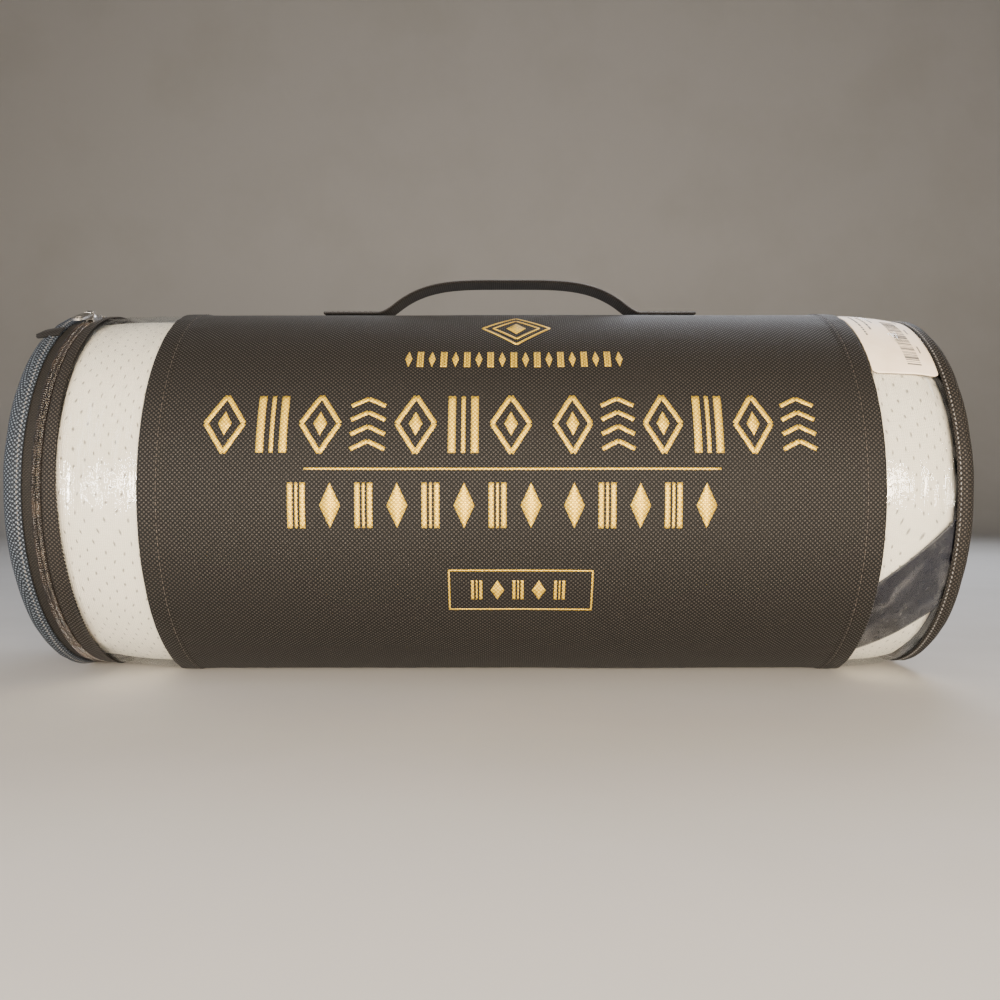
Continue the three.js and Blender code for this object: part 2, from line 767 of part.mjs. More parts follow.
function makePillow() {
  const linerInset = coverThickness + gap;
  const foamInset = linerInset + linerThickness + gap;
  const mouth = (half, depth) => toSolid(grooveBlock(
    [zipLeft + mouthShort, zipRight - mouthShort],
    [-depth, gap],
    [grooveMiddle - half, grooveMiddle + half],
  ));
  const cover = rollSolid(0).subtract(rollSolid(coverThickness)).subtract(mouth(coverMouth, linerInset));
  const liner = rollSolid(linerInset).subtract(rollSolid(linerInset + linerThickness))
    .subtract(mouth(linerMouth, foamInset));
  addPiece('pillow_cover', toGeometry(cover), knitWhite, 0.9);
  addPiece('pillow_liner', toGeometry(liner), 0xf4f3f0, 0.85);
  addPiece('foam_core', toGeometry(rollSolid(foamInset)), 0xf1ead2, 0.95);
}

// The cover's own zip, on the pillow's outer edge, in the groove beside it.
function makePillowZip() {
  const span = [zipLeft, zipRight];
  const across = (width) => [grooveMiddle - width / 2, grooveMiddle + width / 2];
  const coilBase = gap + coverTapeThickness + gap;
  const coilTop = coilBase + coverCoilHeight;
  const tape = grooveBlock(span, [gap, gap + coverTapeThickness], across(coverTapeWidth));
  const coil = grooveBlock(span, [coilBase, coilTop], across(coverCoilWidth));
  addPiece('pillow_zip_tape', tape, knitWhite, 0.85);
  addPiece('pillow_zip_coil', coil, knitWhite, 0.5);
  const xs = [zipLeft + 1, zipLeft + 1 + coverSliderLength];
  const top = [coilTop + coverSliderClearance, coilTop + coverSliderClearance + plateThickness];
  const inner = across(coverCoilWidth + 2 * coverSliderClearance);
  const outer = across(coverCoilWidth + 2 * (coverSliderClearance + coverSliderLip));
  const plate = toSolid(grooveBlock(xs, top, outer));
  const lipAway = [coilBase, top[0] + rimStep];
  const lowLip = toSolid(grooveBlock(xs, lipAway, [outer[0], inner[0]]));
  const highLip = toSolid(grooveBlock(xs, lipAway, [inner[1], outer[1]]));
  addPiece('pillow_zip_slider', toGeometry(plate.add(lowLip).add(highLip)), sliderMetal, 0.3, 1);
  const pullXs = [xs[0] + coverPullInset, xs[0] + coverPullInset + pullLength];
  const pullAway = [top[1] + gap, top[1] + gap + coverPullThickness];
  const pull = grooveBlock(pullXs, pullAway, across(coverPullWidth).map((radius) => radius + 1));
  addPiece('pillow_zip_pull', pull, sliderMetal, 0.3, 1);
  const labelXs = [zipRight + labelFromZip, zipRight + labelFromZip + labelLength];
  const label = grooveBlock(labelXs, [2 * gap, 2 * gap + labelThickness], across(labelWidth));
  addPiece('care_label', label, 0xf2f1ee, 0.7);
}

makePanel();
makeWindow('left_window', panelLeft, filmLeft);
makeWindow('right_window', panelRight, filmRight);
makeZipBand();
makeZip();
makeHingeGusset();
makeSlider();
makePull();
makeEndTab();
makeLeftEnd();
makeRightEnd();
makeHandle();
makeSticker();
makeCard();
makePillow();
makePillowZip();

export default model;
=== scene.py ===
from math import pi, radians

import bmesh
import bpy
import numpy as np
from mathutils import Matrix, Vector


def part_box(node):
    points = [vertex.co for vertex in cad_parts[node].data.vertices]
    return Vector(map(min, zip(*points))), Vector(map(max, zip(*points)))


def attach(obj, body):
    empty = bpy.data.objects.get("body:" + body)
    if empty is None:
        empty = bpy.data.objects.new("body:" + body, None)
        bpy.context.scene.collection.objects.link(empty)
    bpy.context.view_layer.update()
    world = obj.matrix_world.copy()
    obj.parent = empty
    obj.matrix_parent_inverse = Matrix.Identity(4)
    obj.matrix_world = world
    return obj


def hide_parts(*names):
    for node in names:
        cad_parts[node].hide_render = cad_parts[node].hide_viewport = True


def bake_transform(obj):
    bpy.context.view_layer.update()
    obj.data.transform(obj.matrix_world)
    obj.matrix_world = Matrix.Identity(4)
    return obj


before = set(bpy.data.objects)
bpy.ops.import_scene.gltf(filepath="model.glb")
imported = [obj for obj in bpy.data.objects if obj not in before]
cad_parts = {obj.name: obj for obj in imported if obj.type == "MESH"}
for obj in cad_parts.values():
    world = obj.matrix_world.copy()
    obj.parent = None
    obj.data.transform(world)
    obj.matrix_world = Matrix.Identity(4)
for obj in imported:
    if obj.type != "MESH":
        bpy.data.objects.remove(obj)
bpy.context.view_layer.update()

mm = 0.001
turn = 2 * pi
print("frame loaded:", len(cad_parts), "nodes")

# ---- camera and light ----

camera = {"place": (0.0058, -0.6144, 0.1066), "tiltDown": 0.52, "lens": 35.3, "sensor": 36}
cameraData = bpy.data.cameras.new("camera")
cameraData.lens = camera["lens"]
cameraData.sensor_width = camera["sensor"]
cameraObject = bpy.data.objects.new("camera", cameraData)
cameraObject.location = camera["place"]
cameraObject.rotation_euler = (radians(90 - camera["tiltDown"]), 0, 0)
bpy.context.scene.collection.objects.link(cameraObject)
bpy.context.scene.camera = cameraObject


def toLinear(hexColour):
    # sRGB to linear: the low end is a straight line, the rest a power of 2.4
    values = np.array([int(hexColour[i:i + 2], 16) for i in (1, 3, 5)]) / 255
    linear = np.where(values <= 0.04045, values / 12.92, ((values + 0.055) / 1.055) ** 2.4)
    return (*linear.tolist(), 1)


lamps = {
    "frontKey": {"place": (0.14, -1.25, 0.2), "size": (0.7, 0.22), "watts": 44, "colour": "#ffebd2"},
    "leftGlint": {"place": (-0.56, -1.0, 0.17), "size": (0.05, 0.4), "watts": 8, "colour": "#fff8ee"},
    "rightGlint": {"place": (0.64, -1.0, 0.17), "size": (0.04, 0.35), "watts": 5, "colour": "#fff4e4"},
    "highSoftbox": {"place": (0.25, -0.9, 1.35), "size": (1.5, 1.0), "watts": 3, "colour": "#fff0dd"},
    "leftFill": {"place": (-1.25, -0.45, 0.5), "size": (0.8, 0.8), "watts": 5, "colour": "#cfe0ff"},
    "backRim": {"place": (0.5, 1.1, 1.1), "size": (1.2, 0.7), "watts": 20, "colour": "#eef3ff"},
}
studio = {"aim": (0, 0, 0.1), "sky": "#d3d6da", "skyStrength": 0.14}
for lampName, lamp in lamps.items():
    lampData = bpy.data.lights.new(lampName, "AREA")
    lampData.shape = "RECTANGLE"
    lampData.size, lampData.size_y = lamp["size"]
    lampData.energy = lamp["watts"]
    lampData.color = toLinear(lamp["colour"])[:3]
    lampObject = bpy.data.objects.new(lampName, lampData)
    lampObject.location = lamp["place"]
    aim = Vector(studio["aim"]) - Vector(lamp["place"])
    lampObject.rotation_euler = aim.to_track_quat("-Z", "Y").to_euler()
    bpy.context.scene.collection.objects.link(lampObject)

world = bpy.data.worlds.new("studio")
world.use_nodes = True
background = world.node_tree.nodes["Background"]
background.inputs[0].default_value = toLinear(studio["sky"])
background.inputs[1].default_value = studio["skyStrength"]
bpy.context.scene.world = world
print("camera and lamps placed")

# ---- the bag's shape, from the frame ----


def low(node):
    return np.array(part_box(node)[0])


def high(node):
    return np.array(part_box(node)[1])


bag = {
    "radius": (high("centre_panel")[1] - low("centre_panel")[1]) / 2,
    "left": low("centre_panel")[0], "right": high("centre_panel")[0],
    "filmLeft": low("left_window")[0], "filmRight": high("right_window")[0],
    "leftNarrowing": 2.6 * mm, "rightNarrowing": 5.6 * mm,
    "groundCorner": 3 * mm,           # how softly the round sides run into the flat underside
    "offGround": 0.15 * mm,           # the least gap between the cloth and the ground
    "hemWidth": 12 * mm, "filmDepth": 1.9 * mm, "filmThickness": 0.4 * mm,
}
bag["middle"] = (bag["left"] + bag["right"]) / 2
bag["axis"] = high("centre_panel")[2] - bag["radius"]
leftRim = (high("zip_tape_flap")[2] + low("zip_tape_flap")[2]) / 2
rightRim = (high("right_end_binding")[2] + low("right_end_binding")[2]) / 2
tapeOuter = (high("zip_tape_flap")[1] - low("zip_tape_flap")[1]) / 2
zipMiddle = (high("zip_coil_flap")[0] + low("zip_coil_bag")[0]) / 2
girth = turn * bag["radius"]


def bagSection(x):
    # radius and axis height along x: both change with the square of the way across a window
    left = np.clip((bag["left"] - x) / (bag["left"] - bag["filmLeft"]), 0, 1) ** 2
    right = np.clip((x - bag["right"]) / (bag["filmRight"] - bag["right"]), 0, 1) ** 2
    radius = bag["radius"] - bag["leftNarrowing"] * left - bag["rightNarrowing"] * right
    height = bag["axis"] + (leftRim - bag["axis"]) * left + (rightRim - bag["axis"]) * right
    return radius, height


def onBag(x, angle, depth):
    # a point under the bag's outside: a circle, cut off at the ground by a smooth minimum
    x, angle, depth = np.broadcast_arrays(x, angle, depth)
    radius, height = bagSection(x)
    ring = radius - depth
    ground = (height - np.maximum(depth, bag["offGround"])) / np.maximum(-np.sin(angle), 1e-4)
    soft = bag["groundCorner"]
    share = np.clip(0.5 + 0.5 * (ground - ring) / soft, 0, 1)
    reach = ground * (1 - share) + ring * share - soft * share * (1 - share)
    return np.stack([x, -reach * np.cos(angle), height + reach * np.sin(angle)], -1)


def onRim(x, angle, radius, height=leftRim):
    # a point on a circle about a rim's axis
    x, angle, radius = np.broadcast_arrays(x, angle, radius)
    return np.stack([x, -radius * np.cos(angle), height + radius * np.sin(angle)], -1)


def smoothStep(value):
    share = np.clip(value, 0, 1)
    return share * share * (3 - 2 * share)


def ripples(u, v, across, around, seed):
    # smooth noise from -1 to 1: random heights at the corners of a grid over 0..1, joined by
    # smooth steps; it repeats in v, so that it closes round the bag
    heights = np.random.default_rng(seed).uniform(-1, 1, (across + 2, around))
    a = np.clip(u, 0, 1) * across
    b = np.mod(v, 1) * around
    i, j = a.astype(int), b.astype(int) % around
    s, t = smoothStep(a - i), smoothStep(b - np.floor(b))
    k = (j + 1) % around
    near = heights[i, j] * (1 - t) + heights[i, k] * t
    far = heights[i + 1, j] * (1 - t) + heights[i + 1, k] * t
    return near * (1 - s) + far * s


def smoothLine(corners, steps):
    # a curve through corners: a cubic between each pair whose slopes come from their neighbours
    corners = np.array(corners, float)
    ends = np.vstack([2 * corners[0] - corners[1], corners, 2 * corners[-1] - corners[-2]])
    along = np.linspace(0, len(corners) - 1, steps)
    i = np.minimum(along.astype(int), len(corners) - 2)
    t = (along - i)[:, None]
    p0, p1, p2, p3 = ends[i], ends[i + 1], ends[i + 2], ends[i + 3]
    return 0.5 * (2 * p1 + (p2 - p0) * t + (2 * p0 - 5 * p1 + 4 * p2 - p3) * t ** 2
                  + (3 * p1 - p0 - 3 * p2 + p3) * t ** 3)


# ---- mesh helpers ----


def quadMesh(name, points, faces, uv=None):
    # points (n, 3) and faces (k, 4), with a UV pair per point
    mesh = bpy.data.meshes.new(name)
    mesh.vertices.add(len(points))
    mesh.vertices.foreach_set("co", np.ascontiguousarray(points, np.float32).ravel())
    mesh.loops.add(faces.size)
    mesh.loops.foreach_set("vertex_index", faces.astype(np.int32).ravel())
    mesh.polygons.add(len(faces))
    mesh.polygons.foreach_set("loop_start", np.arange(0, faces.size, 4, dtype=np.int32))
    mesh.update(calc_edges=True)
    if uv is not None:
        layer = mesh.uv_layers.new(name="cloth")
        layer.data.foreach_set("uv", uv[faces.ravel()].astype(np.float32).ravel())
    return mesh


def gridFaces(rows, columns):
    i, j = np.meshgrid(np.arange(rows - 1), np.arange(columns - 1), indexing="ij")
    start = (i * columns + j).ravel()
    return np.stack([start, start + 1, start + columns + 1, start + columns], 1)


def readMesh(items, key, width=3, kind=np.float32):
    values = np.zeros(len(items) * width, kind)
    items.foreach_get(key, values)
    return values.reshape(-1, width) if width > 1 else values


def weld(mesh, closed=True):
    # seams and poles merge, open ends of a tube are capped, and a closed shell faces outwards
    work = bmesh.new()
    work.from_mesh(mesh)
    bmesh.ops.remove_doubles(work, verts=work.verts, dist=2e-6)
    if closed:
        bmesh.ops.holes_fill(work, edges=work.edges[:], sides=0)
        bmesh.ops.recalc_face_normals(work, faces=work.faces[:])
    work.to_mesh(mesh)
    work.free()


def gridMesh(name, points, uv=None, closed=True):
    # points (rows, columns, 3) and uv (rows, columns, 2)
    rows, columns = points.shape[:2]
    flatUv = None if uv is None else uv.reshape(-1, 2)
    mesh = quadMesh(name, points.reshape(-1, 3), gridFaces(rows, columns), flatUv)
    weld(mesh, closed)
    return mesh


def addPiece(name, mesh, material, slot, body="root", replaces=(), sharp=35):
    mesh.shade_smooth()
    if sharp:
        mesh.set_sharp_from_angle(angle=radians(sharp))
    mesh.materials.append(material)
    piece = bpy.data.objects.new(name, mesh)
    bpy.context.scene.collection.objects.link(piece)
    if replaces:
        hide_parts(*replaces)
    if body:
        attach(piece, body)
    return piece


def outwardFaces(mesh, way=None):
    # turns an open skin to face away from the bag's axis, or along x with the sign of way
    normals, centres = readMesh(mesh.polygons, "normal"), readMesh(mesh.polygons, "center")
    away = (centres - [0, 0, bag["axis"]]) * [0, 1, 1] if way is None else np.array([[way, 0, 0]])
    if (normals * away).sum() < 0:
        mesh.flip_normals()


def skinMesh(name, mesh, material, slot, thickness, offset=-1, way=None, **more):
    outwardFaces(mesh, way)
    piece = addPiece(name, mesh, material, slot, sharp=0, **more)
    wall = piece.modifiers.new("wall", "SOLIDIFY")
    wall.thickness = thickness
    wall.offset = offset
    wall.use_even_offset = False
    return piece


def skinPiece(name, points, uv, *about, **more):
    # an open grid of points made into a sheet of cloth, film or paper
    return skinMesh(name, gridMesh(name, points, uv, closed=False), *about, **more)


def roundAngles(steps):
    return np.radians(np.linspace(-180, 180, steps + 1))[:, None]


def lapShare(angle):
    return np.mod(angle, turn) / turn


def walkedAlong(line):
    return np.concatenate([[0], np.cumsum(np.linalg.norm(np.diff(line, axis=0), axis=1))])


def sideways(line):
    # the unit vectors square to a flat line
    slope = np.gradient(line, axis=0)
    normal = np.stack([-slope[:, 1], slope[:, 0]], 1)
    return normal / np.maximum(np.linalg.norm(normal, axis=1, keepdims=True), 1e-12)


def clothUv(x, angle):
    return np.stack(np.broadcast_arrays(x, angle / turn * girth), -1)


def bandSection(corners, steps):
    # a closed outline of straight sides, each with a few points, as (x, radius) pairs
    corners = np.array(corners, float)
    following = np.roll(corners, -1, axis=0)
    share = np.linspace(0, 1, steps, endpoint=False)[None, :, None]
    sides = corners[:, None] * (1 - share) + following[:, None] * share
    outline = sides.reshape(-1, 2)
    return np.vstack([outline, outline[:1]])


def ringPiece(name, section, start, finish, steps, height, material, slot, **more):
    # carries a closed (x, radius) outline round a rim's axis from one angle to another
    angle = np.radians(np.linspace(start, finish, steps + 1))[:, None]
    points = onRim(section[None, :, 0], angle, section[None, :, 1], height)
    uv = np.stack(np.broadcast_arrays(walkedAlong(section)[None, :], angle * tapeOuter), -1)
    return addPiece(name, gridMesh(name, points, uv), material, slot, **more)


def tubeGrid(path, normals, radius, sides):
    # a round tube: each ring lies across the path, in the plane of its normal and its side
    tangent = np.gradient(path, axis=0)
    tangent /= np.linalg.norm(tangent, axis=1, keepdims=True)
    side = np.cross(tangent, normals)
    side /= np.linalg.norm(side, axis=1, keepdims=True)
    up = np.cross(side, tangent)
    around = np.linspace(0, turn, sides + 1)[None, :, None]
    return path[:, None] + radius * (np.cos(around) * side[:, None] + np.sin(around) * up[:, None])


stitch = {"stations": (-0.5, -0.3, 0.3, 0.5), "swell": (0.35, 1, 1, 0.35), "flatness": 0.9}


def stitches(name, centres, along, up, length, width, body, thread=None):
    # each stitch is a spindle of 24 corners, laid along its seam and a little flattened
    along = along / np.linalg.norm(along, axis=1, keepdims=True)
    side = np.cross(up, along)
    side /= np.linalg.norm(side, axis=1, keepdims=True)
    up = np.cross(along, side)
    ring = np.radians(np.arange(6) * 60)
    lengths = np.repeat(np.array(stitch["stations"]), 6) * length
    swell = np.repeat(np.array(stitch["swell"]), 6) * width / 2
    sides = np.tile(np.cos(ring), 4) * swell
    ups = np.tile(np.sin(ring), 4) * swell * stitch["flatness"]
    points = (centres[:, None] + along[:, None] * lengths[None, :, None]
              + side[:, None] * sides[None, :, None] + up[:, None] * ups[None, :, None])
    k = np.arange(6)
    walls = [np.stack([k + 6 * r, (k + 1) % 6 + 6 * r, (k + 1) % 6 + 6 * r + 6, k + 6 * r + 6], 1)
             for r in range(3)]
    caps = np.array([[3, 2, 1, 0], [5, 4, 3, 0], [18, 19, 20, 21], [18, 21, 22, 23]])
    one = np.vstack([*walls, caps])
    faces = (one[None] + 24 * np.arange(len(centres))[:, None, None]).reshape(-1, 4)
    mesh = quadMesh(name, points.reshape(-1, 3), faces)
    weld(mesh)
    return addPiece(name, mesh, thread or threadMaterial, "thread", body=body, sharp=0)


# ---- materials ----

dotPitch = 2.4 * mm
perMm = (1 / mm,) * 3


class Finish:
    # a material's node tree; each method adds a node and gives back its output

    def __init__(self, name):
        self.material = bpy.data.materials.new(name)
        self.material.use_nodes = True
        self.tree = self.material.node_tree
        self.tree.nodes.clear()

    def add(self, kind, inputs, output=0, **settings):
        # an input is a value, a colour written as text, or another node's output
        node = self.tree.nodes.new("ShaderNode" + kind)
        for key, value in settings.items():
            setattr(node, key, value)
        for key, value in inputs.items():
            if isinstance(value, bpy.types.NodeSocket):
                self.tree.links.new(value, node.inputs[key])
            else:
                node.inputs[key].default_value = toLinear(value) if isinstance(value, str) else value
        return node.outputs[output]

    def cloth(self, scale=(1, 1, 1), turned=0.0):
        place = self.add("UVMap", {}, uv_map="cloth")
        return self.add("Mapping", {"Vector": place, "Scale": scale, "Rotation": (0, 0, turned)})

    def body(self):
        return self.add("TexCoord", {}, "Object")

    def noise(self, place, scale, detail, distortion=0.0, dimensions="2D", output="Fac"):
        return self.add("TexNoise", {"Vector": place, "Scale": scale, "Detail": detail,
                                     "Distortion": distortion}, output, noise_dimensions=dimensions)

    def bands(self, place, scale, direction, distortion=0.0, detail=2.0):
        return self.add("TexWave", {"Vector": place, "Scale": scale, "Distortion": distortion,
                                    "Detail": detail}, "Fac", bands_direction=direction)

    def dots(self, size):
        # 1 on each raised dot, 0 between them: rows a pitch apart, every other row shifted
        cells = self.cloth((2 ** 0.5 / dotPitch,) * 3, radians(45))
        distance = self.add("TexVoronoi", {"Vector": cells, "Scale": 1.0, "Randomness": 0.0}, "Distance",
                            voronoi_dimensions="2D")
        return self.ramp(distance, size, size * 0.35)

    def ramp(self, value, fromLow, fromHigh, toLow=0.0, toHigh=1.0):
        return self.add("MapRange", {"Value": value, "From Min": fromLow, "From Max": fromHigh,
                                     "To Min": toLow, "To Max": toHigh})

    def math(self, operation, first, second):
        return self.add("Math", {0: first, 1: second}, operation=operation)

    def mix(self, share, first, second):
        return self.add("Mix", {0: share, 6: first, 7: second}, 2, data_type="RGBA")

    def bump(self, height, strength, distance, **more):
        return self.add("Bump", {"Height": height, "Strength": strength, "Distance": distance, **more})

    def close(self, shader):
        output = self.tree.nodes.new("ShaderNodeOutputMaterial")
        self.tree.links.new(shader, output.inputs[0])
        return self.material

    def surface(self, colour, roughness, bump, specular=0.5, more=()):
        return self.close(self.add("BsdfPrincipled", {
            "Base Color": colour, "Roughness": roughness, "Normal": bump,
            "Specular IOR Level": specular, **dict(more)}))


def embossedNonWoven(name, ground, dot, dust):
    # spunbond polypropylene, pressed by a dotted roller: matt and dark, with paler raised dots
    finish = Finish(name)
    dots = finish.dots(0.38)
    fibres = finish.noise(finish.cloth(perMm), 2.2, 3.0)
    patches = finish.noise(finish.body(), 26.0, 4.0, dimensions="3D")
    strength = finish.math("MULTIPLY", dots, finish.ramp(fibres, 0.3, 0.7, 0.35, 1.0))
    cloth = finish.mix(strength, ground, dot)
    colour = finish.mix(finish.ramp(patches, 0.5, 0.8, 0.0, 0.3), cloth, dust)
    bump = finish.bump(finish.math("MULTIPLY", dots, fibres), 0.7, 0.35 * mm)
    return finish.surface(colour, finish.ramp(dots, 0, 1, 0.8, 0.45), bump, 0.25,
                          {"Sheen Weight": 0.015, "Sheen Roughness": 0.5})


def clearVinyl():
    # soft PVC film: nearly clear, a sharp gloss broken into streaks by fine creases, a faint haze
    finish = Finish("clear vinyl film, calendered")
    creases = finish.noise(finish.cloth((500, 24, 1)), 1.0, 1.0, 0.3)
    folds = finish.noise(finish.cloth((60, 42, 1)), 1.0, 3.0, 1.2)
    bump = finish.bump(folds, 0.5, 2.0 * mm, Normal=finish.bump(creases, 0.8, 0.6 * mm))
    clear = finish.add("BsdfTransparent", {"Color": "#fafbfb"})
    gloss = finish.add("BsdfGlossy", {"Color": "#ffffff", "Roughness": 0.07, "Normal": bump})
    haze = finish.add("BsdfDiffuse", {"Color": "#f2f3f3"})
    # both faces of the film reflect alike: a little straight on, far more towards the edges
    facing = finish.add("LayerWeight", {"Blend": 0.5, "Normal": bump}, "Facing")
    mirror = finish.ramp(finish.math("POWER", facing, 5.0), 0, 1, 0.05, 0.5)
    film = finish.add("MixShader", {0: mirror, 1: clear, 2: gloss})
    milky = finish.ramp(folds, 0.45, 0.75, 0.0, 0.025)
    return finish.close(finish.add("MixShader", {0: milky, 1: film, 2: haze}))


def wovenTape(name, ground, thread, pitch):
    # polyester tape in a twill: slanted ribs one thread pitch apart
    finish = Finish(name)
    place = finish.cloth((1 / pitch,) * 3)
    both = finish.math("MULTIPLY", finish.bands(place, 0.32, "DIAGONAL", 0.4),
                       finish.bands(place, 0.32, "Y"))
    return finish.surface(finish.mix(both, ground, thread), finish.ramp(both, 0, 1, 0.8, 0.6),
                          finish.bump(both, 0.6, 0.25 * mm), 0.3, {"Sheen Weight": 0.02})


knit = {"cell": (9.2, 10.4), "dash": (0.55, 1.35), "wander": 0.02}


def jacquardKnit():
    # a cream jacquard: fine wales, and sunken dashes in staggered rows
    finish = Finish("cream jacquard knit")
    wander = finish.noise(finish.cloth((20, 20, 1)), 1.0, 1.0, output="Color")
    shifted = finish.add("MixRGB", {0: knit["wander"], 1: finish.cloth(), 2: wander}, blend_type="ADD")
    (wide, tall), (dashWide, dashTall) = knit["cell"], knit["dash"]
    halves = []
    for shift in (0, 0.5):
        cell = finish.add("Mapping", {"Vector": shifted, "Location": (shift, shift, 0),
                                      "Scale": (1 / (wide * mm), 1 / (tall * mm), 1)})
        wrapped = finish.add("VectorMath", {0: cell}, operation="FRACTION")
        centred = finish.add("VectorMath", {0: wrapped, 1: (0.5, 0.5, 0)}, operation="SUBTRACT")
        dash = finish.add("VectorMath", {0: centred, 1: (wide / dashWide, tall / dashTall, 0)},
                          operation="MULTIPLY")
        halves.append(finish.add("VectorMath", {0: dash}, "Value", operation="LENGTH"))
    dashes = finish.ramp(finish.math("MINIMUM", *halves), 1.15, 0.45)
    place = finish.cloth(perMm)
    loops = finish.math("MULTIPLY", finish.bands(place, 0.28, "X", 0.6, 1.0),
                        finish.bands(place, 0.35, "Y", 0.4))
    cream = finish.mix(loops, "#ece4d2", "#fdf6e8")
    colour = finish.mix(finish.ramp(dashes, 0, 1, 0.0, 0.9), cream, "#858072")
    bump = finish.bump(finish.math("SUBTRACT", loops, dashes), 0.6, 0.5 * mm)
    return finish.surface(colour, finish.ramp(loops, 0, 1, 0.95, 0.8), bump, 0.25,
                          {"Sheen Weight": 0.2, "Sheen Roughness": 0.5})


def goldFoil():
    # hot-stamped foil: bright gold on the cloth's raised dots, thin and darker in the hollows
    finish = Finish("gold foil, hot stamped")
    dots = finish.dots(0.5)
    specks = finish.noise(finish.cloth(perMm), 1.3, 3.0)
    gold = finish.mix(dots, "#bb9322", "#ffdd52")
    colour = finish.mix(finish.ramp(specks, 0.62, 0.72, 0.0, 0.7), gold, "#6b5530")
    return finish.surface(colour, finish.ramp(specks, 0.3, 0.8, 0.36, 0.6),
                          finish.bump(dots, 0.6, 0.3 * mm), more={"Metallic": 0.4})


def plainFinish(name, colour, worn, roughness, scale, metallic=0.0, coat=0.0, bumpDepth=0.1 * mm,
                specular=0.5):
    # an even surface with fine grain and slight wear
    finish = Finish(name)
    grain = finish.noise(finish.body(), scale, 4.0, dimensions="3D")
    wear = finish.noise(finish.body(), scale / 8, 3.0, dimensions="3D")
    return finish.surface(
        finish.mix(finish.ramp(wear, 0.45, 0.7), colour, worn),
        finish.ramp(grain, 0.3, 0.7, roughness - 0.08, roughness + 0.08),
        finish.bump(grain, 0.35, bumpDepth), specular,
        {"Metallic": metallic, "Coat Weight": coat, "Coat Roughness": 0.12})


panelMaterial = embossedNonWoven("spunbond non-woven, black, dot embossed", "#090908", "#45403b", "#191816")
bandMaterial = embossedNonWoven("spunbond non-woven, soft black, dot embossed", "#0e0d0c", "#4c463f",
                                "#24211e")
# the end panel and the left binding are the sleeve's black non-woven, painted paler and blue-grey: painted
# cool light from the left
blueLitEndMaterial = embossedNonWoven("spunbond non-woven, black, painted blue light, dot embossed", "#12171e", "#737f8d",
                               "#262e37")
filmMaterial = clearVinyl()
tapeMaterial = wovenTape("zip tape, woven polyester", "#080807", "#282420", 0.9 * mm)
webbingMaterial = wovenTape("polypropylene webbing, ribbed", "#121010", "#36312d", 1.3 * mm)
coilMaterial = plainFinish("nylon coil, extruded", "#211c18", "#3d342b", 0.24, 900, coat=0.6)
metalMaterial = plainFinish("zinc alloy, cast and plated", "#c9c6c0", "#a29e97", 0.3, 700, metallic=1.0)
threadMaterial = plainFinish("polyester sewing thread, dark", "#3d3731", "#544c44", 0.6, 2500)
paleThread = plainFinish("polyester sewing thread, pale", "#7b7a79", "#5c5b5b", 0.6, 2500)
knitMaterial = jacquardKnit()
foilMaterial = goldFoil()
paperMaterial = plainFinish("coated label paper", "#f6e6cf", "#ecdac0", 0.5, 500)
cardMaterial = plainFinish("printed card, dark blue", "#090913", "#0e0e1b", 0.32, 400,
                           bumpDepth=0.03 * mm, specular=0.2)
inkMaterial = plainFinish("thermal print, grey", "#5c5854", "#77726c", 0.6, 600)
foamMaterial = plainFinish("memory foam, open cells", "#efe6c8", "#e4d9b4", 0.9, 1200, bumpDepth=0.6 * mm)
linerMaterial = plainFinish("liner non-woven, white", "#f1efe9", "#e2dfd6", 0.85, 900)
paleCoilMaterial = plainFinish("nylon coil, cream", "#d8d2c2", "#c6bfad", 0.4, 900)
clothLabelMaterial = plainFinish("satin label tape", "#f1eee6", "#dedacf", 0.5, 1500)
print("materials made")

# ---- sleeve round the middle ----

sleeve = {"thickness": 0.9 * mm, "clear": 0.1 * mm, "hemLift": 0.45 * mm, "hemRamp": 0.5 * mm,
          "edgeRoll": 1.2 * mm, "swell": 0.5 * mm, "settle": 25 * mm, "pucker": 0.22 * mm,
          "puckerFade": 22 * mm, "puckerSpan": 40 * mm, "fineStep": 0.75 * mm, "fineSpan": 16 * mm,
          "coarseSteps": 84, "around": 240, "stitchAt": 10.2 * mm, "stitchSink": 0.35 * mm,
          "sinkWidth": 0.7 * mm, "stitchPitch": 3.6 * mm, "stitchSize": (2.0 * mm, 0.45 * mm)}


def sleeveDepth(x, angle):
    # the hem stands up by one layer, sinks at its stitches and rolls under at the edge; the middle
    # has slow swells, and small puckers run along the stitching
    edge = np.minimum(x - bag["left"], bag["right"] - x)
    hem = sleeve["hemLift"] * smoothStep((bag["hemWidth"] + sleeve["hemRamp"] - edge) / mm)
    roll = sleeve["edgeRoll"] * np.clip(1 - edge / sleeve["edgeRoll"], 0, 1) ** 2
    along = lapShare(angle)
    wave = 0.6 + 0.4 * np.cos(along * turn * np.round(girth / sleeve["stitchPitch"]))
    sink = sleeve["stitchSink"] * wave * np.exp(-((edge - sleeve["stitchAt"]) / sleeve["sinkWidth"]) ** 2)
    near = np.exp(-(edge / sleeve["puckerFade"]) ** 2)
    puckers = sleeve["pucker"] * near * ripples(edge / sleeve["puckerSpan"], along, 5, 110, 3)
    share = (x - bag["left"]) / (bag["right"] - bag["left"])
    swell = sleeve["swell"] * ripples(share, along, 6, 7, 4) * smoothStep(edge / sleeve["settle"])
    return sleeve["hemLift"] - hem + roll + sink + puckers + swell + sleeve["clear"]


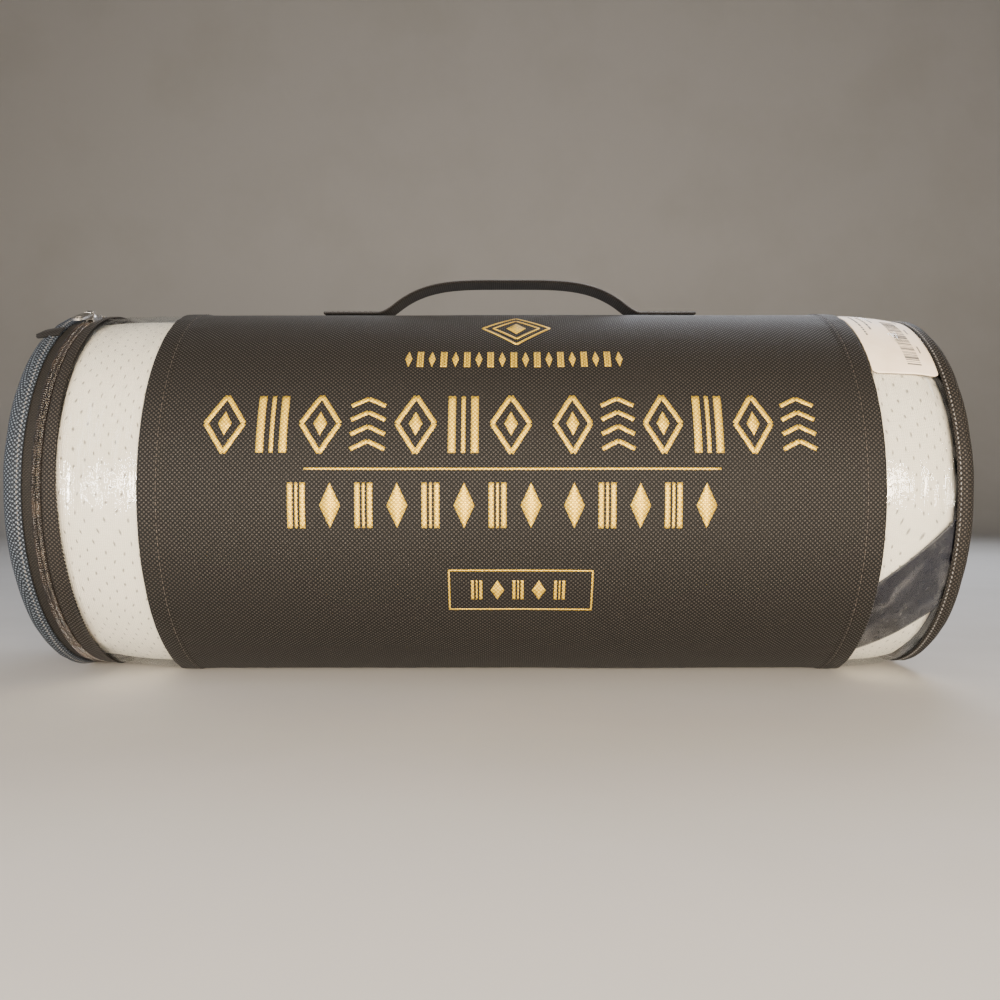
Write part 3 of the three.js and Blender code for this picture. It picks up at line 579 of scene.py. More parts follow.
def makeSleeve():
    fine = np.arange(0, sleeve["fineSpan"], sleeve["fineStep"])
    middle = np.linspace(bag["left"] + sleeve["fineSpan"], bag["right"] - sleeve["fineSpan"],
                         sleeve["coarseSteps"])
    x = np.concatenate([bag["left"] + fine, middle, (bag["right"] - fine)[::-1]])[None, :]
    angle = roundAngles(sleeve["around"])
    piece = skinPiece("sleeve", onBag(x, angle, sleeveDepth(x, angle)), clothUv(x, angle), panelMaterial,
                      "nonwoven", sleeve["thickness"], replaces=["centre_panel"])
    for side, edge, sign in (("left", bag["left"], 1), ("right", bag["right"], -1)):
        count = int(round(girth / sleeve["stitchPitch"]))
        at = (np.arange(count) + 0.5) / count * turn
        x = np.full(count, edge + sign * sleeve["stitchAt"])
        centres = onBag(x, at, sleeveDepth(x, at) - 0.05 * mm)
        ahead = onBag(x, at + 0.01, sleeveDepth(x, at))
        up = centres - np.stack([x, np.zeros(count), np.full(count, bag["axis"])], -1)
        stitches(f"hem_stitches_{side}", centres, ahead - centres, up, *sleeve["stitchSize"], "root")


makeSleeve()
print("sleeve made")

# ---- clear windows ----

window = {"underHem": 9 * mm, "underBand": 4 * mm, "creaseDepth": 0.35 * mm, "foldDepth": 0.55 * mm,
          "bulge": 0.35 * mm, "across": 70, "around": 330}


def filmDepth(x, angle):
    # fine creases run round the bag and broad folds slant across; both die out at the sewn edges
    left = x < bag["middle"]
    width = np.where(left, bag["left"] - bag["filmLeft"], bag["filmRight"] - bag["right"])
    share = np.where(left, bag["left"] - x, x - bag["right"]) / width
    along = lapShare(angle)
    free = smoothStep(share / 0.12) * smoothStep((1 - share) / 0.1)
    creases = window["creaseDepth"] * ripples(share, along + 0.01 * share, 13, 46, 11)
    folds = window["foldDepth"] * ripples(share, along + 0.12 * share, 4, 23, 12)
    return bag["filmDepth"] + free * (creases + folds - window["bulge"])


def makeWindow(name, hemEdge, farEdge, node):
    inwards = np.sign(hemEdge - farEdge)
    x = np.linspace(hemEdge + inwards * window["underHem"], farEdge, window["across"])[None, :]
    angle = roundAngles(window["around"])
    piece = skinPiece(name, onBag(x, angle, filmDepth(x, angle)), clothUv(x, angle), filmMaterial, "film",
                      bag["filmThickness"], replaces=[node])


makeWindow("window_left", bag["left"], bag["filmLeft"] - window["underBand"], "left_window")
makeWindow("window_right", bag["right"], bag["filmRight"], "right_window")
print("windows made")

# ---- band between the left window and the zip ----

band = {"inner": low("zip_band")[0] - 1.5 * mm, "edge": bag["filmLeft"] - 1.4 * mm, "wideBy": 5 * mm,
        "widest": -50, "toothPitch": 2.3 * mm, "toothDepth": 0.7 * mm, "thickness": 0.8 * mm,
        "across": 16, "aboveFilm": 0.25 * mm, "aboveTape": 0.5 * mm, "step": 4 * mm, "pucker": 0.3 * mm}


def makeBand():
    # its free edge lies on the film and is cut in small teeth; it is widest low down at the front
    teeth = int(round(girth / band["toothPitch"]))
    angle = roundAngles(teeth * 4)
    share = np.linspace(0, 1, band["across"])[None, :]
    wide = band["wideBy"] * np.exp(2.2 * (np.cos(angle - radians(band["widest"])) - 1))
    saw = np.abs(2 * np.mod(angle / turn * teeth, 1) - 1) * band["toothDepth"]
    x = band["inner"] + (band["edge"] + wide - saw - band["inner"]) * share
    onFilm = filmDepth(x, angle) - band["aboveFilm"] - band["thickness"]
    atZip = bag["radius"] - bag["leftNarrowing"] - tapeOuter - band["aboveTape"] - band["thickness"]
    lie = smoothStep((x - band["inner"]) / band["step"])
    pucker = band["pucker"] * ripples(share * np.ones_like(angle), lapShare(angle), 4, 90, 21)
    depth = atZip * (1 - lie) + onFilm * lie - np.abs(pucker * (1 - 0.5 * lie))
    piece = skinPiece("zip_band_cloth", onBag(x, angle, depth), clothUv(x, angle), bandMaterial,
                      "nonwoven", band["thickness"], replaces=["zip_band"])


makeBand()

# ---- zip ----

zipSizes = {"tapeThickness": 0.6 * mm, "pitch": 1.35 * mm, "wire": 0.62 * mm, "coilWidth": 3.1 * mm,
            "coilHeight": 1.4 * mm, "coilGap": 0.35 * mm, "coilApart": 1.3 * mm, "perTurn": 10, "sides": 5,
            "from": -219, "to": 77, "tapeFrom": -220, "tapeTo": 79.7}


def tapeOutline(node):
    nearX, farX = low(node)[0], high(node)[0]
    inner = tapeOuter - zipSizes["tapeThickness"]
    return bandSection([(nearX, inner), (farX, inner), (farX, tapeOuter), (nearX, tapeOuter)], 5)


def makeCoil(name, middle, phase, body, node):
    # a flattened spring laid round the rim: across and up it goes round an oval, once per pitch
    start, finish = radians(zipSizes["from"]), radians(zipSizes["to"])
    rise = tapeOuter + zipSizes["coilGap"] + zipSizes["coilHeight"] / 2
    turns = int((finish - start) * rise / zipSizes["pitch"])
    phi = np.linspace(0, turns * turn, turns * zipSizes["perTurn"] + 1)
    angle = start + (finish - start) * phi / (turns * turn) + phase * zipSizes["pitch"] / rise
    halfWide = (zipSizes["coilWidth"] - zipSizes["wire"]) / 2
    halfHigh = (zipSizes["coilHeight"] - zipSizes["wire"] * 0.6) / 2
    path = onRim(middle + halfWide * np.cos(phi), angle, rise + halfHigh * np.sin(phi))
    centre = onRim(np.full(len(phi), middle), angle, rise)
    points = tubeGrid(path, path - centre, zipSizes["wire"] / 2, zipSizes["sides"])
    addPiece(name, gridMesh(name, points), coilMaterial, "zip_coil", body=body, replaces=[node], sharp=0)


hinge = {"from": 79.7, "to": 140.3, "foldFrom": 96, "foldTo": 124, "thickness": 0.8 * mm,
         "rise": 0.75 * mm, "rootEdge": zipMiddle + 5 * mm, "flapEdge": zipMiddle - 5.5 * mm,
         "fold": 2.2 * mm}


def makeHinge():
    # the stretch of the rim without a zip: a strip on the bag, and a fold that joins it to the flap
    ringPiece("gusset", tapeOutline("zip_tape_bag"), hinge["from"], hinge["to"], 72, leftRim,
              bandMaterial, "nonwoven", replaces=["hinge_gusset"])
    radius = tapeOuter + hinge["rise"]
    x = np.linspace(hinge["flapEdge"], hinge["rootEdge"], 13)[None, :]
    angle = np.radians(np.linspace(hinge["foldFrom"], hinge["foldTo"], 40))[:, None]
    crown = 0.4 * hinge["thickness"] * np.sin(pi * (x - x.min()) / (x.max() - x.min()))
    uv = np.stack(np.broadcast_arrays(x, angle * radius), -1)
    fold = skinPiece("hinge_fold", onRim(x, angle, radius + crown), uv, bandMaterial, "nonwoven",
                     hinge["thickness"], 0, body=None)
    foldAngle = radians((hinge["foldFrom"] + hinge["foldTo"]) / 2)
    spot = onRim(np.array(zipMiddle), np.array(foldAngle), np.array(radius))
    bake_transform(fold)


endTab = {"angle": 56, "halfWidth": 5 * mm, "thickness": 0.9 * mm, "lift": 3.4 * mm, "droop": 2.6 * mm,
          "curl": 0.35 * mm}


def makeEndTab():
    # a folded end of tape on the flap, with a round tip that droops over the end panel
    highX, lowX = high("zip_end_tab")[0], low("zip_end_tab")[0]
    seat = tapeOuter + endTab["lift"]
    u = np.linspace(0, 1, 30)[:, None]
    v = np.linspace(-1, 1, 17)[None, :]
    roundFrom = 1 - endTab["halfWidth"] / (highX - lowX)
    tip = np.clip((u - roundFrom) / (1 - roundFrom), 0, 1)
    half = endTab["halfWidth"] * np.sqrt(np.maximum(1 - tip ** 2, 0.0025))
    x = highX - (highX - lowX) * u + 0 * v
    angle = radians(endTab["angle"]) + v * half / seat
    curl = endTab["curl"] * np.cos(v * pi) * smoothStep(u * 3)
    skinPiece("zip_tab", onRim(x, angle, seat - endTab["droop"] * u ** 2.2 + curl),
              np.stack([x, angle * seat], -1), tapeMaterial, "nonwoven", endTab["thickness"],
              body="end_flap", replaces=["zip_end_tab"])


ringPiece("tape_bag", tapeOutline("zip_tape_bag"), zipSizes["tapeFrom"], zipSizes["tapeTo"], 300, leftRim,
          tapeMaterial, "zip_tape", replaces=["zip_tape_bag"])
ringPiece("tape_flap", tapeOutline("zip_tape_flap"), -180, 180, 360, leftRim, tapeMaterial, "zip_tape",
          body="end_flap", replaces=["zip_tape_flap"])
makeHinge()
makeEndTab()
makeCoil("coil_bag", zipMiddle + zipSizes["coilApart"], 0.0, "root", "zip_coil_bag")
makeCoil("coil_flap", zipMiddle - zipSizes["coilApart"], 0.5, "end_flap", "zip_coil_flap")
print("zip made")

# ---- ends ----

ends = {
    "thickness": 1.0 * mm, "pucker": 0.45 * mm, "sag": 0.8 * mm, "around": 288, "steps": 60,
    "clearance": 0.1 * mm,
    "left": [(0, 1), (0.28, 1.011), (0.5, 1.008), (0.68, 0.988), (0.8, 0.952), (0.9, 0.828), (0.97, 0.45),
             (1, 0)],
    "right": [(0, 1), (0.3, 1.007), (0.55, 0.997), (0.72, 0.97), (0.84, 0.883), (0.95, 0.5), (1, 0)],
}


def makeEnd(side, lipX, farX, edgeRadius, height, body, material):
    # a cup turned about the rim's axis: radius and distance outwards follow the outline, from the
    # lip to the middle; puckers fade out towards the middle
    way, depth, lip = np.sign(farX - lipX), abs(farX - lipX), edgeRadius - ends["clearance"]
    profile = smoothLine(ends[side], ends["steps"])
    out, radius = profile[:, 0] * depth, np.maximum(profile[:, 1] * lip, 0)
    radius[-1] = 0
    angle = roundAngles(ends["around"])
    walked = walkedAlong(np.stack([out, radius], 1))[None, :]
    fromMiddle = walked.max() - walked
    share, level = fromMiddle / fromMiddle.max(), np.ones_like(angle)
    crest = smoothStep(walked / (5 * mm)) * share ** 3
    pucker = ends["pucker"] * crest * ripples(out[None, :] / depth * level, lapShare(angle), 3, 64, 31)
    sag = ends["sag"] * ripples(share * level, lapShare(angle), 5, 9, 32)
    sag = sag * smoothStep(walked / (15 * mm)) * smoothStep(fromMiddle / (20 * mm))
    points = onRim(lipX + way * (out[None, :] - np.abs(sag)), angle, radius[None, :] + pucker, height)
    points[:, -1] = points[:1, -1]
    uv = np.stack(np.broadcast_arrays(fromMiddle * np.cos(angle), fromMiddle * np.sin(angle)), -1)
    piece = skinPiece(f"end_{side}", points, uv, material, "end_fabric", ends["thickness"], way=way,
                      body=body, replaces=[f"{side}_end_panel"])


rightEdgeRadius = bag["radius"] - bag["rightNarrowing"] - bag["filmDepth"]
# the left end is black cloth with painted blue light
makeEnd("left", high("left_end_panel")[0], low("left_end_panel")[0], tapeOuter, leftRim, "end_flap",
        blueLitEndMaterial)
makeEnd("right", low("right_end_panel")[0], high("right_end_panel")[0], rightEdgeRadius, rightRim, "root",
        bandMaterial)

# ---- bindings ----

binding = {"thickness": 1.1 * mm, "pitch": 2.7 * mm, "leftWidth": 4.9 * mm, "leftLift": 0.85 * mm,
           "rightLift": 1.05 * mm, "leftRises": (1.3, 0.8, 0), "rightRises": (0.5, 0.2, 0.6),
           "stitchSize": (1.5 * mm, 0.65 * mm)}


def stripSection(lowX, highX, base, rises):
    # a strip of cloth seen end on: a smooth line given a thickness with round edges
    line = smoothLine([(lowX, base + rises[0] * mm), ((lowX + highX) / 2, base + rises[1] * mm),
                       (highX, base + rises[2] * mm)], 15)
    share = np.linspace(0, 1, len(line))
    plump = np.clip(np.minimum(share, 1 - share) / 0.08, 0, 1) ** 0.5
    edge = sideways(line) * (binding["thickness"] / 2 * plump)[:, None]
    outline = np.vstack([line + edge, (line - edge)[::-1]])
    return np.vstack([outline, outline[:1]])


def seamStitches(name, x, radius, height, body):
    count = int(turn * radius / binding["pitch"])
    angle = turn * (np.arange(count) + 0.5) / count
    centres = onRim(np.full(count, x), angle, radius, height)
    ahead = onRim(np.full(count, x), angle + 0.01, radius, height)
    up = centres - np.array([x, 0, height])
    stitches(name, centres, ahead - centres, up, *binding["stitchSize"], body, paleThread)


def makeBindings():
    lowX = low("left_end_binding")[0]
    highX, base = lowX + binding["leftWidth"], tapeOuter + binding["leftLift"]
    # the left binding is black cloth with the same painted blue light
    ringPiece("binding_left", stripSection(lowX, highX, base, binding["leftRises"]), -180, 180, 360,
              leftRim, blueLitEndMaterial, "nonwoven", body="end_flap", replaces=["left_end_binding"])
    seamStitches("binding_stitches_left", (lowX + highX) / 2 + 0.4 * mm, base + 1.2 * mm, leftRim,
                 "end_flap")
    lowX, highX = low("right_end_binding")[0], high("right_end_binding")[0]
    base = rightEdgeRadius + binding["rightLift"]
    ringPiece("binding_right", stripSection(lowX, highX, base, binding["rightRises"]), -180, 180, 360,
              rightRim, bandMaterial, "nonwoven", replaces=["right_end_binding"])
    seamStitches("binding_stitches_right", lowX + 1.6 * mm, base + 0.95 * mm, rightRim, "root")


makeBindings()
print("ends and bindings made")

# ---- pillow ----

pillow = {
    "left": low("pillow_cover")[0] - 4 * mm, "right": high("pillow_cover")[0] + 5.5 * mm, "inset": 3.4 * mm,
    "taper": 7 * mm, "endScale": 0.9, "core": 14 * mm, "slab": 52 * mm, "tail": 14 * mm,
    "tailAt": 200, "grooveSpan": 15, "grooveLip": 1.5, "endGroove": 9 * mm, "endGrooveWidth": 5.5 * mm,
    "holeDepth": 2.2, "holeEdge": 6 * mm, "endReach": 14 * mm, "voxel": 5 * mm, "frames": 20,
    "cap": 5 * mm, "plumpest": 3.3 * mm, "overshoot": 2 * mm, "knitRow": 10.4 * mm, "fill": 0.75,
    "sliderRoom": 2.6 * mm, "roomFrom": high("zip_slider")[0] + 8 * mm, "roomBlend": 6 * mm,
    "cloth": {"use_pressure": True, "uniform_pressure_force": 4.0, "quality": 4, "tension_stiffness": 12,
              "compression_stiffness": 12, "shear_stiffness": 5, "bending_stiffness": 0.4},
}


def rollSurface(inset, along, around):
    # the rolled pillow's skin: from the middle of one end, over its soft edge, along the side and
    # back to the middle of the other end; the ends sink along the spiral where the layers meet
    scale = pillow["endScale"]
    radius = bag["radius"] - pillow["inset"] - inset
    left, right = pillow["left"] + inset, pillow["right"] - inset
    face = np.linspace(0, 1, along // 4, endpoint=False)
    side = np.linspace(0, 1, along // 2)
    x = np.concatenate([np.full(len(face), left), left + (right - left) * side, np.full(len(face), right)])
    fromEnd = np.minimum(x - left, right - x)
    reach = 1 - (1 - scale) * (1 - np.clip(fromEnd / pillow["taper"], 0, 1)) ** 1.5
    spread = np.concatenate([face * scale, reach[len(face):len(face) + len(side)],
                             face[::-1] * scale])[None, :]
    angle = roundAngles(around)
    x = x[None, :] * np.ones_like(angle)
    centre = np.stack([x, np.zeros_like(x), bagSection(x)[1]], -1)
    points = centre + (onBag(x, angle, pillow["inset"] + inset) - centre) * spread[..., None]
    # the seam between layers winds out from the core to the tail in two turns
    fromTail = angle - radians(pillow["tailAt"])
    share = lapShare(fromTail)
    lap = radius - pillow["slab"]
    first = pillow["core"] + (lap - pillow["core"]) * share
    second = lap + (pillow["slab"] - pillow["tail"]) * share
    distance = np.full(x.shape, 1.0)
    for seam in (first, second):
        distance = np.minimum(distance, np.abs(spread - seam / radius * scale) * radius)
    sink = pillow["endGroove"] * np.exp(-(distance / pillow["endGrooveWidth"]) ** 2)
    hole = smoothStep((pillow["core"] - spread * radius) / pillow["holeEdge"])
    hole = pillow["holeDepth"] * pillow["endGroove"] * hole
    atEnd = smoothStep(1 - fromEnd / pillow["endReach"])[None, :]
    points[..., 0] += np.where(x < 0, 1, -1) * np.maximum(sink, hole) * atEnd
    # the long groove beside the pillow's outer edge
    past = np.degrees(np.mod(fromTail, turn))
    groove = np.where(past < pillow["grooveSpan"], 1 - smoothStep(past / pillow["grooveSpan"]), 0)
    lip = smoothStep(np.mod(-fromTail, turn) / radians(pillow["grooveLip"]))
    squeeze = 1 - pillow["tail"] / radius * np.maximum(groove, 1 - lip) * smoothStep(spread / scale - 0.6)
    return centre + (points - centre) * np.stack([np.ones_like(squeeze), squeeze, squeeze], -1)


def simulatePressure(piece):
    # cloth held by nothing but its own pressure, for a fixed number of frames
    cloth = piece.modifiers.new("cloth", "CLOTH")
    for key, value in pillow["cloth"].items():
        setattr(cloth.settings, key, value)
    cloth.settings.effector_weights.gravity = 0
    scene = bpy.context.scene
    for step in range(1, pillow["frames"] + 1):
        scene.frame_set(step)
    shape = piece.evaluated_get(bpy.context.evaluated_depsgraph_get())
    moved = readMesh(shape.to_mesh().vertices, "co")
    shape.to_mesh_clear()
    piece.modifiers.remove(cloth)
    scene.frame_set(1)
    return moved


def keepInBag(points):
    # the side stays below the film and, near the zipped end, below the slider's path
    radius, height = bagSection(points[:, 0])
    across, up = -points[:, 1], points[:, 2] - height
    angle = np.arctan2(up, across)
    nearRim = smoothStep((pillow["roomFrom"] - points[:, 0]) / pillow["roomBlend"])
    limit = onBag(points[:, 0], angle, pillow["plumpest"] + nearRim * pillow["sliderRoom"])
    most = np.linalg.norm((limit - np.stack([points[:, 0], 0 * height, height], -1))[:, 1:], axis=1)
    scale = np.minimum(1, most / np.maximum(np.hypot(across, up), 1e-6))
    points[:, 1] *= scale
    points[:, 2] = height + up * scale
    points[:, 0] = np.clip(points[:, 0], pillow["left"] - pillow["overshoot"],
                           pillow["right"] + pillow["overshoot"])
    return points


def wrapUv(mesh):
    # u runs along the pillow and over its ends, v round it; each face is unwrapped about its middle
    corner = readMesh(mesh.loops, "vertex_index", 1, np.int32)
    points = readMesh(mesh.vertices, "co").astype(float)
    angle = np.arctan2(points[:, 2] - bag["axis"], -points[:, 1])[corner]
    reach = np.hypot(points[:, 2] - bag["axis"], points[:, 1])[corner]
    starts = readMesh(mesh.polygons, "loop_start", 1, np.int32)
    first = np.repeat(angle[starts], readMesh(mesh.polygons, "loop_total", 1, np.int32))
    angle = first + np.mod(angle - first + pi, turn) - pi
    x = points[:, 0][corner]
    over = np.sign(x) * np.maximum(0, bag["radius"] * 0.9 - reach) * (np.abs(x) > 0.2)
    rows = round(girth / pillow["knitRow"]) * pillow["knitRow"]
    layer = mesh.uv_layers.new(name="cloth")
    layer.data.foreach_set("uv", np.stack([x + over, angle / turn * rows], 1).astype(np.float32).ravel())


def makePillow():
    mesh = gridMesh("pillow", rollSurface(1.2 * mm, 240, 180))
    piece = addPiece("pillow", mesh, knitMaterial, "knit", body=None, replaces=["pillow_cover"], sharp=0)
    remesh = piece.modifiers.new("remesh", "REMESH")
    remesh.mode = "VOXEL"
    remesh.voxel_size = pillow["voxel"]
    graph = bpy.context.evaluated_depsgraph_get()
    skin = bpy.data.meshes.new_from_object(piece.evaluated_get(graph))
    piece.modifiers.remove(remesh)
    piece.data = skin
    before = readMesh(skin.vertices, "co").astype(float)
    move = simulatePressure(piece) - before
    move *= np.minimum(1, pillow["cap"] / np.maximum(np.linalg.norm(move, axis=1, keepdims=True), 1e-9))
    points = keepInBag(before + move)
    skin.vertices.foreach_set("co", points.astype(np.float32).ravel())
    skin.update()
    wrapUv(skin)
    skin.shade_smooth()
    finer = piece.modifiers.new("finer", "SUBSURF")
    finer.levels = finer.render_levels = 1
    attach(piece, "root")
    for name, inset, material, node in (("liner", 3.2 * mm, linerMaterial, "pillow_liner"),
                                        ("foam", 4.2 * mm, foamMaterial, "foam_core")):
        inner = gridMesh(name, rollSurface(inset, 120, 96))
        core = addPiece(name, inner, material, name, replaces=[node], sharp=0)


makePillow()
print("pillow made")

# ---- handle ----

handle = {"reach": (high("handle_strap")[0] - low("handle_strap")[0]) / 2, "width": 26 * mm,
          "foot": low("handle_strap")[2] + 1 * mm, "rise": 14 * mm, "thickness": 1.7 * mm,
          "patch": high("handle_anchor_right")[0] - bag["middle"], "bend": 45 * mm, "steps": 34,
          "anchorSteps": 40, "fall": 11 * mm, "seat": 0.25 * mm, "stitchFrom": 14 * mm,
          "stitchInset": 3.5 * mm, "stitchPitch": 3 * mm, "stitchSize": (2.2 * mm, 0.6 * mm)}


def strapGrid(reach, height, curl):
    # a webbing section, flat with round edges, carried along a line in the XZ plane; curl bends its
    # edges down onto the bag
    line = np.stack([bag["middle"] + reach, height], 1)
    normal = sideways(line)
    normal *= np.sign(normal[:, 1:2])
    across = np.linspace(-1, 1, 15)
    half = handle["thickness"] / 2 * np.clip((1 - np.abs(across)) / 0.1, 0.02, 1) ** 0.5
    ys = np.concatenate([across, across[::-1]]) * handle["width"] / 2
    lifts = np.concatenate([half, -half[::-1]])
    ys, lifts = np.append(ys, ys[0]), np.append(lifts, lifts[0])
    drop = -ys[None, :] ** 2 / (2 * bag["radius"]) * curl[:, None]
    x = line[:, :1] + normal[:, :1] * lifts[None, :]
    z = line[:, 1:] + normal[:, 1:] * lifts[None, :] + drop
    points = np.stack([x, np.broadcast_to(ys, x.shape), z], -1)
    return points, np.stack(np.broadcast_arrays(ys[None, :], walkedAlong(line)[:, None]), -1)


def makeHandle(side, sign):
    share = np.linspace(0, 1, handle["steps"])
    points, uv = strapGrid(sign * share * handle["reach"], handle["foot"] + handle["rise"] * (1 - share ** 4),
                           0 * share)
    strap = addPiece(f"strap_{side}", gridMesh(f"strap_{side}", points, uv), webbingMaterial, "webbing",
                     body=None, replaces=["handle_strap"] if sign < 0 else [])
    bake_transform(strap)
    # the anchor runs on from the strap's foot, down to the sleeve and flat along it
    past = (handle["patch"] - handle["reach"]) * np.linspace(0, 1, handle["anchorSteps"]) ** 1.4
    flat = high("centre_panel")[2] + handle["thickness"] / 2 + handle["seat"]
    t = np.clip(past / handle["fall"], 0, 1)
    slope = -4 * handle["rise"] / handle["reach"] * handle["fall"]
    height = (flat + (handle["foot"] - flat) * (2 * t ** 3 - 3 * t ** 2 + 1)
              + slope * (t ** 3 - 2 * t ** 2 + t))
    points, uv = strapGrid(sign * (handle["reach"] + past), np.maximum(height, flat), smoothStep(t))
    addPiece(f"anchor_{side}", gridMesh(f"anchor_{side}", points, uv), webbingMaterial, "webbing",
             replaces=[f"handle_anchor_{side}"])
    boxStitches(side, sign, flat)


def boxStitches(side, sign, flat):
    # a box with a cross in it, sewn through the anchor
    near, far = handle["reach"] + handle["stitchFrom"], handle["patch"] - handle["stitchInset"]
    half = handle["width"] / 2 - handle["stitchInset"]
    corners = np.array([(near, -half), (far, -half), (far, half), (near, half), (near, -half), (far, half),
                        (far, -half), (near, half)])
    centres, ways = [], []
    for start, finish in zip(corners[:-1], corners[1:]):
        count = int(np.linalg.norm(finish - start) / handle["stitchPitch"])
        share = ((np.arange(count) + 0.5) / count)[:, None]
        centres.append(start + (finish - start) * share)
        ways.append(np.repeat((finish - start)[None], count, 0))
    centres, ways = np.vstack(centres), np.vstack(ways)
    z = flat + handle["thickness"] / 2 - centres[:, 1] ** 2 / (2 * bag["radius"])
    places = np.stack([bag["middle"] + sign * centres[:, 0], centres[:, 1], z], 1)
    along = np.stack([sign * ways[:, 0], ways[:, 1], np.zeros(len(ways))], 1)
    up = np.tile([[0.0, 0.0, 1.0]], (len(places), 1))
    stitches(f"anchor_stitches_{side}", places, along, up, *handle["stitchSize"], "root")


makeHandle("left", -1)
makeHandle("right", 1)
print("handle made")

# ---- print on the sleeve ----

foil = {"lift": 0.1 * mm, "thickness": 0.06 * mm, "middle": 15 * mm, "emblemAt": 58.6, "ruleAt": 6.65,
        "ruleFrom": -95.6 * mm, "ruleTo": 120 * mm, "frameX": (-21 * mm, 54.4 * mm),
        "frameAngles": (-34.7, -21.8), "frameLine": 0.9 * mm}


def strokes(name, paths, widths, surface, material, slot, lift):
    # flat ribbons on a curved surface: each path is (x, arc) points and a width at each of them
    points, faces, uvs, start = [], [], [], 0
    for path, width in zip(paths, widths):
        half = sideways(path) * np.broadcast_to(np.asarray(width, float), (len(path),))[:, None] / 2
        rows = np.stack([path + half, path, path - half], 1)
        points.append(surface(rows[..., 0], rows[..., 1], lift).reshape(-1, 3))
        uvs.append(rows.reshape(-1, 2))
        faces.append(gridFaces(len(path), 3) + start)
        start += len(path) * 3
    mesh = quadMesh(name, np.vstack(points), np.vstack(faces), np.vstack(uvs))
    weld(mesh, closed=False)
    skinMesh(name, mesh, material, slot, foil["thickness"])


def onSleeve(x, arc, lift):
    angle = arc / girth * turn
    return onBag(x, angle, sleeveDepth(x, angle) - lift)


def straight(x0, v0, x1, v1, steps=14):
    share = np.linspace(0, 1, steps)[:, None]
    return np.array([x0, v0]) * (1 - share) + np.array([x1, v1]) * share


def lozenge(x, v, wide, tall):
    corners = [(x, v - tall / 2), (x + wide / 2, v), (x, v + tall / 2), (x - wide / 2, v), (x, v - tall / 2)]
    return [straight(*a, *b, 9) for a, b in zip(corners[:-1], corners[1:])]


def filledLozenge(x, v, wide, tall):
    # one upright ribbon whose width grows to the middle and shrinks again
    path = straight(x, v - tall / 2, x, v + tall / 2, 15)
    return path, wide * (1 - np.abs(np.linspace(-1, 1, 15))) + 0.02 * mm


def chevrons(x, v, wide, tall, count):
    paths = []
    for i in range(count):
        base = v - tall / 2 + tall * (i + 0.25) / count
        paths.append(straight(x - wide / 2, base, x, base + tall / count * 0.55, 7))
        paths.append(straight(x, base + tall / count * 0.55, x + wide / 2, base, 7))
    return paths


def makePrint():
    paths, widths = [], []

    def draw(lines, width):
        for line in lines:
            paths.append(line)
            widths.append(width)

    def motif(kind, x, v, wide, tall, bold):
        if kind == "lozenge":
            draw(lozenge(x, v, wide, tall), bold)
            path, width = filledLozenge(x, v, wide * 0.36, tall * 0.42)
            draw([path], width)
        elif kind == "bars":
            for shift, thick in ((-0.3, 1.5), (0, 0.8), (0.3, 1.5)):
                draw([straight(x + wide * shift, v - tall / 2, x + wide * shift, v + tall / 2)], bold * thick)
        elif kind == "chevrons":
            draw(chevrons(x, v, wide * 0.9, tall, 4), bold * 0.9)
        else:
            path, width = filledLozenge(x, v, wide, tall)
            draw([path], width)

    def row(pattern, fromX, toX, fromAngle, toAngle, bold, fill=0.8):
        step = (toX - fromX) / len(pattern)
        middle = (fromAngle + toAngle) / 2 / 360 * girth
        tall = (toAngle - fromAngle) / 360 * girth
        for i, kind in enumerate(pattern):
            motif(kind, fromX + step * (i + 0.5), middle, step * fill, tall, bold)

    a, b, c, d = "lozenge", "bars", "chevrons", "diamond"
    row([a, b, a, c, a, b, a], -150 * mm, 24 * mm, 11, 27.9, 2.6 * mm)
    row([a, c, a, b, a, c], 32 * mm, 173 * mm, 11, 27.9, 2.6 * mm)
    row([b, d, b, d, b, d, b, d], -108 * mm, 30.5 * mm, -9.5, 2.9, 1.8 * mm, 0.62)
    row([d, b, d, b, d], 35.6 * mm, 121 * mm, -9.5, 2.9, 1.8 * mm, 0.62)
    row([d, b] * 9 + [d], -46.8 * mm, 73.5 * mm, 38.4, 44.8, 0.8 * mm, 0.6)
    row([b, d, b, d, b], -12 * mm, 42.7 * mm, -31.2, -24.9, 1.0 * mm, 0.66)
    rule = foil["ruleAt"] / 360 * girth
    draw([straight(foil["ruleFrom"], rule, foil["ruleTo"], rule, 60)], 1.1 * mm)
    frameLow, frameHigh = (v / 360 * girth for v in foil["frameAngles"])
    line = foil["frameLine"]
    for v in (frameLow, frameHigh):
        draw([straight(foil["frameX"][0], v, foil["frameX"][1], v, 24)], line)
    for x in foil["frameX"]:
        draw([straight(x, frameLow - line / 2, x, frameHigh + line / 2)], line)
    emblem = foil["emblemAt"] / 360 * girth
    for size in (38, 26):
        draw(lozenge(foil["middle"], emblem, size * mm, size * mm), 1.5 * mm)
    path, width = filledLozenge(foil["middle"], emblem, 11 * mm, 15 * mm)
    draw([path], width)
    strokes("foil_print", paths, widths, onSleeve, foilMaterial, "foil", foil["lift"])


makePrint()
print("print made")

# ---- sticker and card ----

sticker = {"from": bag["right"] + 0.6 * mm, "to": high("price_sticker")[0], "low": 36.5, "high": 76,
           "corner": 3 * mm, "thickness": 0.2 * mm, "lift": 0.9 * mm, "wave": 0.25 * mm,
           "codeFrom": 21 * mm, "codeTo": 29 * mm, "bars": (0.35, 0.7, 1.1), "gaps": (0.6, 1.0, 1.5),
           "columns": ((6, 34), (10.5, 26), (15, 14)), "dashes": (2.0, 3.4, 4.6), "line": 1.1 * mm,
           "marksAt": 31.6 * mm, "marks": (-0.5, 0.1, 0.62)}


